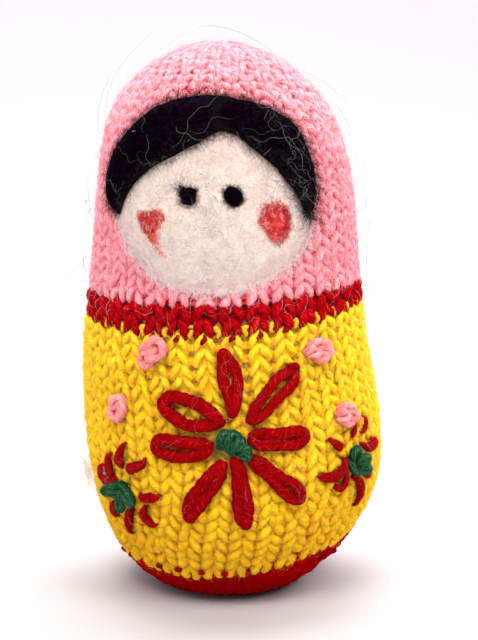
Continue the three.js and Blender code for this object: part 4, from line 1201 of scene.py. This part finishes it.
# ------------------------------------------------------------------ loose fibres
def halo(name, sheaves, count, material, seed, length=(1.0, 2.8), off=0.22, most=1.4, rad=0.021, points=4,
         tone=(0.1, 1.0), drift=0.5):
    """Fibres that run along the yarn and lift off it a little, more at their far end."""
    rng = np.random.default_rng(seed)
    spines = [s for sh_ in sheaves for s in sh_.spines]
    n_of = np.array([len(s[0]) for s in spines])
    step = np.array([s[5] for s in spines])
    closed = np.array([s[4] for s in spines])
    start = np.concatenate([[0], np.cumsum(n_of)[:-1]])
    P = np.concatenate([s[0] for s in spines]); B = np.concatenate([s[1] for s in spines])
    U = np.concatenate([s[2] for s in spines]); R = np.concatenate([s[3] for s in spines])
    F = np.array([s[6] for s in spines])
    share = n_of * step
    who = rng.choice(len(spines), count, p=share / share.sum())
    N = n_of[who][:, None]
    t = np.linspace(0, 1, points)[None, :]
    go = rng.uniform(*length, count)[:, None] / step[who][:, None] * rng.choice([-1, 1], count)[:, None]
    idx = rng.uniform(0, 1, count)[:, None] * N + t * go
    cl = closed[who][:, None]
    idx = np.where(cl, idx % N, np.clip(idx, 0.0, N - 1.001))
    f = np.floor(idx).astype(int)
    w = (idx - f)[..., None]
    f = np.where(cl, f % N, f)
    g = np.where(cl, (f + 1) % N, np.minimum(f + 1, N - 1))
    i, j = start[who][:, None] + f, start[who][:, None] + g
    mix = lambda X: X[i] * (1 - w) + X[j] * w
    p, b, u = mix(P), mix(B), mix(U)
    r = R[i] * (1 - w[..., 0]) + R[j] * w[..., 0]
    phi = rng.uniform(0.04, 0.96, count)[:, None] * np.pi + drift * rng.normal(0, 1, count)[:, None] * t
    phi = phi + 0.15 * rng.normal(0, 1, (count, points))
    lift = np.minimum(rng.exponential(off, count), most)[:, None] * t**1.4 + 0.01
    out = np.cos(phi)[..., None] * b + np.sin(phi)[..., None] * u
    fl = F[who][:, None]
    path = p + ((r + lift) * np.cos(phi))[..., None] * b + ((r * fl + lift) * np.sin(phi))[..., None] * u
    sheaf = Sheaf()
    # painted shade: the fibres down between the yarns are darker, those on the crests lighter
    crest = np.clip(np.sin(phi).mean(1), 0, 1)
    sheaf.threads(path, out, rad * rng.uniform(0.7, 1.25, count), rng.uniform(*tone, count) * (0.15 + 0.95 * crest**1.5))
    return sheaf.make(name, material)


def strays(theta, z, head, length, bend, lift0, lift1, points, seed, under=None, lump=0.0, wave=0.0):
    """Fibres that start at an angle (radians) and a height, and wander over the skin or off it."""
    rng = np.random.default_rng(seed)
    N = len(theta)
    step = (np.broadcast_to(length, (N,)) / (points - 1))
    turn = np.cumsum(rng.normal(0, 1, (N, points)) * bend, 1) * 0.35 + rng.normal(0, 1, (N, 1)) * bend * 1.5
    if wave:
        q = np.arange(points)[None, :] * step[:, None]
        lam = rng.uniform(3.0, 8.0, (N, 1))
        turn = turn * 0.25 + wave * rng.uniform(0.4, 1.3, (N, 1)) * np.sin(2 * np.pi * q / lam + rng.uniform(0, 6.28, (N, 1)))
        turn = turn + 0.5 * wave * np.sin(2 * np.pi * q / (lam * 2.7) + rng.uniform(0, 6.28, (N, 1)))
        h = np.broadcast_to(head, (N,))[:, None] + turn + rng.normal(0, 0.06, (N, 1)) * q
    else:
        h = np.broadcast_to(head, (N,))[:, None] + np.cumsum(turn, 1)
    th = np.empty((N, points)); zz = np.empty((N, points))
    th[:, 0], zz[:, 0] = theta, z
    for i in range(1, points):
        r = np.maximum(radius(arc_of(zz[:, i - 1])), 3.0)
        th[:, i] = th[:, i - 1] + np.cos(h[:, i]) * step / r
        zz[:, i] = np.clip(zz[:, i - 1] + np.sin(h[:, i]) * step, 0.6, 120.4)
    t = np.linspace(0, 1, points)[None, :]
    lf = np.broadcast_to(lift0, (N,))[:, None] * (1 - t) + np.broadcast_to(lift1, (N,))[:, None] * t
    if lump:
        lf = lf + lump * np.sin(np.pi * t) * rng.uniform(0, 1, (N, 1))
    if under is not None:
        lf = lf + under(np.degrees(th), zz)
    s = arc_of(zz)
    return skin(th, s, lf), normal(th, s)


def bunch(name, p, nn, rad, tones, material, seed):
    rng = np.random.default_rng(seed)
    sheaf = Sheaf()
    sheaf.threads(p, nn, rad * rng.uniform(0.7, 1.3, len(p)), tones)
    return sheaf.make(name, material)


for k in range(4):
    halo(f"hood_fuzz_{k}", [hood_a, hood_b], 8800, F_PINK, 400 + k, off=0.33, most=2.2, rad=0.025, length=(1.2, 3.4), tone=(0.22, 1.1))
for k in range(3):
    halo(f"body_fuzz_{k}", [low, high_], 9200, F_YELLOW, 410 + k, off=0.26, most=2.0, rad=0.023, length=(1.2, 3.4), tone=(0.3, 1.1))
halo("hood_down", [hood_a, hood_b], 7600, F_PINK, 440, off=0.80, most=2.8, rad=0.022, length=(2.0, 5.0), points=5, tone=(0.15, 1.1))
halo("body_down", [low, high_], 5200, F_YELLOW, 443, off=0.75, most=2.6, rad=0.018, length=(2.0, 5.0), points=5, tone=(0.35, 1.1))


def bloom(name, count, s_lo, s_hi, mat, seed, tones, rad=0.019, length=(0.8, 2.3)):
    """Short fibres brushed up from the yarn, that lie across the stitches in every direction."""
    g = np.random.default_rng(seed)
    t0 = g.uniform(0, 2 * np.pi, count * 2)
    s0 = g.uniform(s_lo, s_hi, count * 2)
    keep = np.flatnonzero(g.uniform(0, 33, count * 2) < radius(s0))[:count]
    t0, s0 = t0[keep], s0[keep]
    z0 = np.interp(climb(t0, s0), ARC, _line[:, 1])
    n = len(t0)
    p, nn = strays(t0, z0, g.uniform(0, 2 * np.pi, n), g.uniform(*length, n), 0.3, g.uniform(-0.55, 0.0, n), g.uniform(-0.30, 0.38, n), 4, seed + 1)
    bunch(name, p, nn, rad, np.clip(g.normal(*tones, n), 0, 1), mat, seed + 2)


for k in range(3):
    bloom(f"body_bloom_{k}", 9600, arc_of(8.5), arc_of(60.2), F_YELLOW, 450 + 3 * k, (0.60, 0.30))
for k in range(2):
    bloom(f"hood_bloom_{k}", 9600, arc_of(67.6), TOP - 2, F_PINK, 470 + 3 * k, (0.5, 0.28))
halo("band_fuzz", [band], 2400, F_RED, 420, off=0.2, most=1.1, length=(1.0, 3.4))
halo("band_strands", [band], 110, F_PALE, 426, length=(3.0, 8.0), off=0.5, most=1.4, rad=0.020, points=18, drift=2.2, tone=(0.4, 1.2))
halo("base_fuzz", [base], 2600, F_RED, 421, tone=(0, 0.5), off=0.12, most=0.5)
sewn_red = [v for k, v in SEWN.items() if k.startswith(("petal", "stitch"))]
halo("red_embroidery_fuzz", sewn_red, 7000, F_THREAD, 422, length=(0.8, 2.6), off=0.15, most=1.0, tone=(0.0, 0.95), rad=0.019)
halo("stitch_fuzz", [v for k, v in SEWN.items() if k.startswith("stitch")], 2600, F_THREAD, 437, length=(0.5, 1.6), off=0.24, most=0.9,
     tone=(0.25, 1.5), rad=0.021)
halo("pale_strands", sewn_red, 75, F_PALE, 423, length=(1.5, 5.0), off=0.30, most=1.2, rad=0.013, points=14, drift=1.6, tone=(0.0, 0.8))
rng = np.random.default_rng(427)
n = 22
left_ = np.arange(n) < 15
t0 = np.where(left_, rng.normal(-56.8, 2.2, n), rng.normal(60.0, 3.0, n)) * RAD
z0 = np.where(left_, rng.normal(28.7, 1.0, n), rng.normal(36.6, 1.6, n))
p, nn = strays(t0, z0, rng.uniform(0, 6.28, n), rng.uniform(1.6, 3.8, n), 0.5, 1.15, rng.uniform(1.0, 1.5, n), 14, 429)
bunch("pale_curls", p, nn, 0.022, rng.uniform(0.1, 0.9, n), F_PALE, 435)
halo("green_fuzz", [SEWN[k] for k in GREEN], 1100, F_GREEN, 424, off=0.34, most=1.7, length=(1.0, 3.2), tone=(0, 0.9), points=5)
halo("rose_fuzz", [SEWN[k] for k in KNOTS], 1200, F_PINK, 425, off=0.16, most=1.0, tone=(0, 0.8))
# dark green fibres over the yellow round the centre of the flower
rng = np.random.default_rng(438)
n = 420
side = rng.uniform(0, 1, n) < 0.6
t0 = np.where(side, rng.normal(-5.0, 2.0, n), rng.normal(2.6, 2.2, n)) * RAD
z0 = np.where(side, rng.normal(37.6, 1.3, n), rng.normal(36.2, 1.0, n))
p, nn = strays(t0, z0, rng.uniform(0, 6.28, n), rng.uniform(0.8, 2.8, n), 0.4, rng.uniform(-0.1, 0.25, n), rng.uniform(0.0, 0.45, n), 6, 439)
bunch("green_dark_fibres", p, nn, 0.016, rng.uniform(0.0, 0.45, n), F_GREEN, 436)
# red fibres that work loose round the flowers, over the yellow
rng = np.random.default_rng(428)
ring_pts = np.concatenate([np.array(go + back) for go, back, _ in PETALS.values()])
n = 2600
pick = ring_pts[rng.integers(0, len(ring_pts), n)]
t0 = (pick[:, 0] + rng.normal(0, 2.3, n)) * RAD
z0 = pick[:, 1] + rng.normal(0, 1.25, n)
BLED = (t0, z0, rng.uniform(0, 2 * np.pi, n), rng.uniform(0.6, 2.0, n), rng.uniform(0.0, 0.2, n), rng.uniform(0.05, 0.3, n), rng.uniform(0, 1, n))

# filling strands behind the open stitches
rng = np.random.default_rng(430)
eyes_ = np.array([(c, row_s + 0.62 * row_high) for row_s, row_high, centres, _ in rows for c in centres
                  if float(loose(row_s, np.array([c]))[0]) > 0.30])
n = 800
pick = eyes_[rng.integers(0, len(eyes_), n)]
t0 = pick[:, 0] + rng.normal(0, 0.4, n) / 26
z0 = np.interp(pick[:, 1], ARC, _line[:, 1]) + rng.normal(0, 0.35, n)
p, nn = strays(t0, z0, rng.uniform(0, 2 * np.pi, n), rng.uniform(0.6, 1.4, n), 0.6, rng.uniform(-1.4, -1.05, n), rng.uniform(-1.4, -1.05, n), 5, 431)
bunch("filling_strands", p, nn, 0.028, rng.uniform(0.0, 0.7, n), F_TAN, 432)
t0, z0, head, length, l0, l1, tones = BLED
p, nn = strays(t0, z0, head, length, 0.3, l0, l1, 6, 433)
bunch("bled_fibres", p, nn, 0.019, tones, F_ORANGE, 434)

# felt fibres over the face
n = 11000
rr = np.sqrt(rng.uniform(0, 1, n)); aa = rng.uniform(0, 360, n)
R = rr * face_reach(aa)
t0 = FACE_AT[0] + R * np.cos(aa * RAD) / FACE_PER
z0 = FACE_AT[1] + R * np.sin(aa * RAD)
head = np.where(rng.uniform(0, 1, n) < 0.65, aa * RAD + np.pi / 2 + rng.normal(0, 0.5, n), rng.uniform(0, 2 * np.pi, n))
clear = np.ones(n, bool)
for name, (at, reach) in PATCHES.items():
    du, dv = (t0 - at[0]) * FACE_PER, z0 - at[1]
    clear &= np.hypot(du, dv) > reach(np.degrees(np.arctan2(dv, du))) + 0.2
t0, z0, head = t0[clear], z0[clear], head[clear]
n = len(t0)
p, nn = strays(t0 * RAD, z0, head, rng.uniform(1.6, 5.0, n), 0.22, rng.uniform(0.03, 0.14, n), rng.uniform(0.03, 0.20, n), 8, 302, under=on_face)
for name, (at, reach) in PATCHES.items():
    # none of these crosses an eye or a cheek
    x, y, z = p[..., 0], p[..., 1], p[..., 2]
    ang_p = np.degrees(np.arctan2(x - np.interp(z, LEAN[:, 0], LEAN[:, 1]), -y))
    du, dv = (ang_p - at[0]) * FACE_PER, z - at[1]
    inside = (np.hypot(du, dv) < reach(np.degrees(np.arctan2(dv, du))) - 0.1).any(1)
    p, nn = p[~inside], nn[~inside]
# painted light: besides its random tone, each fibre is lighter the lower it lies on the face, making up for the light
# the down-turned lower face misses
shade = np.clip(rng.normal(0.70, 0.34, len(p)) - 0.012 * (p[:, 3, 2] - 86), 0, 1)
for k in range(2):
    bunch(f"face_fibres_{k}", p[k::2][:4500], nn[k::2][:4500], 0.027, shade[k::2][:4500], F_CREAM, 303 + 9 * k)
# and out over the knitting round its edge
for k, (mat, slot, count, tones) in enumerate(((F_CREAM, "cream_felt", 3600, (0.75, 1.0)), (F_PINK, "pink_knit", 1700, (0.55, 0.9)))):
    n = count
    aa = rng.uniform(120, 430, n); R = face_reach(aa) * rng.uniform(0.90, 1.05, n)
    t0 = FACE_AT[0] + R * np.cos(aa * RAD) / FACE_PER; z0 = FACE_AT[1] + R * np.sin(aa * RAD)
    keep = z0 < 87
    t0, z0, aa = t0[keep], z0[keep], aa[keep]
    n = len(t0)
    head = aa * RAD + np.pi / 2 * rng.choice([-1, 1], n) + rng.normal(0, 0.6, n)
    p, nn = strays(t0 * RAD, z0, head, rng.uniform(1.0, 3.8, n), 0.3, rng.uniform(-0.1, 0.2, n), rng.uniform(-0.1, 0.35, n), 7, 304 + k, under=on_face)
    bunch(f"face_edge_fibres_{k}", p, nn, 0.028, rng.uniform(*tones, n), mat, 306 + k)

# the eyes' and cheeks' fibres run out into the face, and a few of the face's lie over them
for k, (name, (at, reach)) in enumerate(PATCHES.items()):
    eye = name.startswith("eye")
    n = 420 if eye else 3400
    aa = rng.uniform(0, 360, n)
    core = rng.uniform(0, 1, n)
    R = reach(aa) * rng.uniform(0.72, 1.06, n) if eye else (reach(aa) + 0.6) * np.clip(np.sqrt(core) + rng.normal(0, 0.10, n), 0, 1.35)
    du, dv = R * np.cos(aa * RAD), R * np.sin(aa * RAD)
    head = aa * RAD + rng.normal(0, 0.9, n)
    length = rng.uniform(0.5, 1.5, n)
    if not eye:
        head = np.radians(-38) + rng.normal(0, 0.75, n) + np.pi * rng.integers(0, 2, n)
        length = rng.uniform(0.4, 1.3, n)
        if name == "cheek_left":      # a thin tail runs down from it
            t_ = np.arange(n) < 520
            run = rng.uniform(0, 1, t_.sum())
            du[t_] = 0.1 + 0.6 * run + rng.normal(0, 1.15 * (1 - 0.75 * run), t_.sum())
            dv[t_] = -0.9 - 2.9 * run
            t_ = (np.arange(n) >= 520) & (np.arange(n) < 610)
            run = rng.uniform(0, 1, t_.sum())
            du[t_] = 0.6 + 2.0 * run + rng.normal(0, 0.55, t_.sum())
            dv[t_] = -3.0 - 3.8 * run
    q = local(at, du, dv)
    p, nn = strays(q[:, 0] * RAD, q[:, 1], head, length, 0.4,
                   rng.uniform(0.15, 0.5, n) if eye else rng.uniform(0.12, 0.30, n), rng.uniform(0.05, 0.55, n) if eye else rng.uniform(0.02, 0.30, n),
                   6, 330 + k, under=on_face)
    out = np.hypot(du, dv) / (reach(np.degrees(np.arctan2(dv, du))) + 0.6)
    bunch(name + "_fibres", p, nn, 0.024 if eye else 0.027, rng.uniform(0, 0.4, n) if eye else np.clip((0.02 if name == "cheek_left" else 0.16) + 0.30 * out**2 + 0.42 * noise(p[:, 3], 0.8, 390 + k) + rng.normal(0, 0.2, n), 0, 1),
          F_BLACK if eye else F_CORAL, 340 + k)
    if not eye:
        n = 70
        aa = rng.uniform(0, 360, n)
        R = (reach(aa) + 0.9) * np.sqrt(rng.uniform(0.3, 1.2, n))
        q = local(at, R * np.cos(aa * RAD), R * np.sin(aa * RAD))
        p, nn = strays(q[:, 0] * RAD, q[:, 1], rng.uniform(0, 6.28, n), rng.uniform(0.5, 1.6, n), 0.25,
                       rng.uniform(0.25, 0.4, n), rng.uniform(0.2, 0.4, n), 7, 350 + k, under=on_face)
        bunch(name + "_veil", p, nn, 0.019, rng.uniform(0.4, 1, n), F_CREAM, 360 + k)
# the tuft over the left eye
n = 40
q = local((-16.6, 89.9), rng.normal(0, 0.5, n), rng.normal(0, 0.4, n))
p, nn = strays(q[:, 0] * RAD, q[:, 1], rng.normal(1.9, 0.55, n), rng.uniform(1.0, 2.6, n), 0.3, 0.3, rng.uniform(0.3, 1.0, n), 7, 370, under=on_face)
bunch("eye_tuft", p, nn, 0.022, rng.uniform(0, 0.6, n), F_BLACK, 371)


def on_hair(s, t):
    return HAIR_THICK * np.clip(2 * np.sqrt(np.clip(t * (1 - t), 0, 1)), 0, 1)**0.7 * np.clip(np.sin(np.pi * np.clip(s, 0.004, 0.996)) * 3.2, 0, 1)**0.6


n = 2600
s_, t_ = rng.uniform(0.02, 0.98, n), rng.uniform(0.02, 0.98, n)
a0, z0 = hair_point(s_, t_)
a1, z1 = hair_point(np.clip(s_ + 0.01, 0, 1), t_)
head = np.arctan2(z1 - z0, (a1 - a0) * FACE_PER) + rng.normal(0, 0.35, n)
p, nn = strays(a0 * RAD, z0, head, rng.uniform(2.0, 6.0, n), 0.15, on_hair(s_, t_) + 0.02, on_hair(s_, t_) * 0.7 + rng.uniform(0.0, 0.3, n), 8, 311)
bunch("hair_fibres", p, nn, 0.026, rng.uniform(0.0, 0.22, n), F_BLACK, 312)
n = 3000
s_ = rng.uniform(0.0, 1.0, n)
outer = rng.uniform(0, 1, n) < 0.66
t_ = np.where(outer, 1.0, 0.0) + rng.normal(0, 0.02, n)
a0, z0 = hair_point(s_, t_)
am, zm = hair_point(s_, np.full(n, 0.5))
away = np.arctan2(z0 - zm, (a0 - am) * FACE_PER)
p, nn = strays(a0 * RAD, z0, away + rng.normal(0, 0.9, n), np.where(outer, rng.uniform(0.6, 2.6, n), rng.uniform(0.6, 2.0, n)), 0.5,
               rng.uniform(0.1, 0.8, n), np.where(outer, rng.uniform(0.1, 1.1, n), rng.uniform(1.6, 2.6, n)), 6, 313)
bunch("hair_edge_fibres", p, nn, 0.022, rng.uniform(0.0, 0.4, n), F_BLACK, 314)

# thin hairs that reach out of the crescent over the hood
rng = np.random.default_rng(316)
n = 380
s_ = rng.uniform(0.04, 0.98, n)
a0, z0 = hair_point(s_, rng.uniform(0.88, 1.0, n))
am, zm = hair_point(s_, np.full(n, 0.4))
away = np.arctan2(z0 - zm, (a0 - am) * FACE_PER)
p, nn = strays(a0 * RAD, z0, away + rng.normal(0, 0.8, n), rng.uniform(1.8, 5.6, n), 0.35, rng.uniform(0.2, 0.9, n), rng.uniform(0.3, 1.5, n), 9, 317, wave=0.7)
bunch("hair_wisps", p, nn, 0.015, rng.uniform(0.0, 0.9, n), F_BLACK, 318)

# long guard hairs: fine and waving, most of them on the doll's left over the hair, the face's edge and the hood
def guards(name, count, ang_mid, ang_sd, z_mid, z_sd, length, lift, rad, tones, mat, seed, wave=0.75, points=40, lump=0.8):
    g = np.random.default_rng(seed)
    t0 = g.normal(ang_mid, ang_sd, count) * RAD
    z0 = np.clip(g.normal(z_mid, z_sd, count), 20, 117)
    p, nn = strays(t0, z0, g.uniform(0, 2 * np.pi, count), g.uniform(*length, count), 0.10, g.uniform(*lift, count),
                   g.uniform(*lift, count), points, seed + 1, lump=lump, wave=wave)
    bunch(name, p, nn, rad, g.uniform(*tones, count), mat, seed + 2)


guards("guard_hairs_left", 7, -30, 12, 100, 4, (10, 20), (2.0, 3.0), 0.025, (0.3, 1.0), F_GREY, 320)
guards("guard_hairs_right", 34, 30, 11, 97, 6, (6, 16), (2.0, 3.4), 0.022, (0.0, 0.9), F_GREY, 330, wave=0.9)
guards("guard_hairs_dark", 80, 36, 10, 92, 9, (3, 9), (1.6, 3.2), 0.023, (0.0, 0.6), F_BLACK, 340, wave=1.1, points=24)
guards("guard_hairs_top", 40, 0, 28, 109, 3.5, (3, 9), (0.6, 2.4), 0.024, (0.0, 0.6), F_BLACK, 350, wave=0.8, points=24)
guards("guard_hairs_face", 26, -4, 22, 85, 8, (5, 16), (2.5, 2.9), 0.021, (0.0, 0.6), F_GREY, 360, wave=1.0)
guards("guard_hairs_rim", 34, 31, 6, 88, 7, (3, 9), (2.0, 2.9), 0.021, (0.0, 0.5), F_GREY, 364, wave=1.3, points=30)
guards("guard_hairs_body", 13, 2, 22, 50, 10, (8, 18), (0.7, 1.4), 0.019, (0.2, 1.0), F_GREY, 370, wave=0.9)
# and some that stand off the hood at its sides and top
rng = np.random.default_rng(380)
n = 30
t0 = np.where(rng.uniform(0, 1, n) < 0.45, rng.normal(-82, 10, n), rng.normal(80, 12, n)) * RAD
z0 = rng.uniform(64, 118, n)
p, nn = strays(t0, z0, rng.uniform(0, 2 * np.pi, n), rng.uniform(7, 18, n), 0.10, rng.uniform(0.0, 0.6, n), rng.uniform(2.0, 6.0, n), 32, 323,
               lump=1.2, wave=0.7)
bunch("side_hairs", p, nn, 0.030, rng.uniform(0.0, 0.6, n), F_GREY, 324)
# a loose tuft on the left side of the body, at the height of the small flower
rng = np.random.default_rng(382)
n = 90
p, nn = strays(rng.normal(-80, 3.0, n) * RAD, rng.normal(26.0, 1.2, n), rng.uniform(0, 6.28, n), rng.uniform(3, 7, n), 0.3,
               rng.uniform(0.0, 0.8, n), rng.uniform(0.5, 3.0, n), 14, 383, lump=0.8, wave=1.5)
bunch("side_tuft", p, nn, 0.018, rng.uniform(0.5, 1.0, n), F_TAN, 384)


# ------------------------------------------------------------------ floor, light, camera
def stage_floor():
    """A round studio sweep: flat under the doll, then curving up on every side."""
    prof = [(0.0, 0.0), (0.25, 0.0), (0.5, 0.0)]
    prof += [(0.5 + 0.8 * math.sin(a), 0.8 - 0.8 * math.cos(a)) for a in np.linspace(0, math.pi / 2, 24)[1:]]
    prof += [(1.3, 1.3)]
    n = 96
    v = [(0.0, 0.0, 0.0)] + [(r * math.cos(2 * math.pi * k / n), r * math.sin(2 * math.pi * k / n), z)
                             for r, z in prof[1:] for k in range(n)]
    f = [(0, 1 + k, 1 + (k + 1) % n) for k in range(n)]
    for j in range(len(prof) - 2):
        for k in range(n):
            a, b = 1 + j * n + k, 1 + j * n + (k + 1) % n
            f.append((a, a + n, b + n, b))
    me = bpy.data.meshes.new("floor")
    me.from_pydata(v, [], f)
    me.shade_smooth()
    m = bpy.data.materials.new("pale_floor")
    m.use_nodes = True
    b = m.node_tree.nodes["Principled BSDF"]
    b.inputs["Base Color"].default_value = srgb(178, 175, 177)
    b.inputs["Roughness"].default_value = 0.8
    b.inputs["Specular IOR Level"].default_value = 0.1
    me.materials.append(m)
    o = bpy.data.objects.new("floor", me)
    bpy.context.scene.collection.objects.link(o)


stage_floor()


def area(name, loc, target, size, power, color=(1, 1, 1)):
    d = bpy.data.lights.new(name, "AREA")
    d.shape = "RECTANGLE"
    d.size, d.size_y = size
    d.energy = power
    d.color = color
    o = bpy.data.objects.new(name, d)
    o.location = loc
    way = np.array(target, float) - np.array(loc, float)
    flat_way = math.hypot(way[0], way[1])
    o.rotation_euler = (math.atan2(flat_way, -way[2]), 0, math.atan2(way[1], way[0]) - math.pi / 2)
    bpy.context.scene.collection.objects.link(o)


area("key", (0.40, -0.42, 0.66), (0, 0, 0.07), (0.40, 0.40), 5.0, (1.0, 0.98, 0.95))
area("front", (-0.10, -0.36, 0.46), (0, 0, 0.074), (0.26, 0.20), 2.4, (1.0, 0.99, 0.97))
area("fill", (-0.6, -0.45, 0.35), (0, 0, 0.08), (0.5, 0.5), 0.7, (0.98, 0.98, 1.0))
area("top", (0.0, 0.20, 0.75), (0, 0, 0.08), (0.6, 0.5), 4.2)
area("rim", (0.5, 0.40, 0.36), (0, 0, 0.09), (0.4, 0.5), 3.2)
area("rim_left", (-0.5, 0.40, 0.35), (0, 0, 0.08), (0.4, 0.5), 1.1)
area("wall", (0.0, 0.30, 1.2), (0, 1.2, 0.2), (1.2, 0.6), 25.0, (0.99, 0.985, 1.0))
w = bpy.data.worlds.new("studio")
w.use_nodes = True
w.node_tree.nodes["Background"].inputs[0].default_value = (0.95, 0.96, 1.0, 1)
w.node_tree.nodes["Background"].inputs[1].default_value = 0.22
bpy.context.scene.world = w
bpy.context.scene.view_settings.view_transform = "Standard"

cam = bpy.data.cameras.new("camera")
cam.lens = 85.05
cam.sensor_width = 36
cam.clip_start = 0.01
co = bpy.data.objects.new("camera", cam)
co.location = (0.0024, -0.333, 0.109)
co.rotation_euler = (math.radians(81.5), 0, 0)
bpy.context.scene.collection.objects.link(co)
bpy.context.scene.camera = co
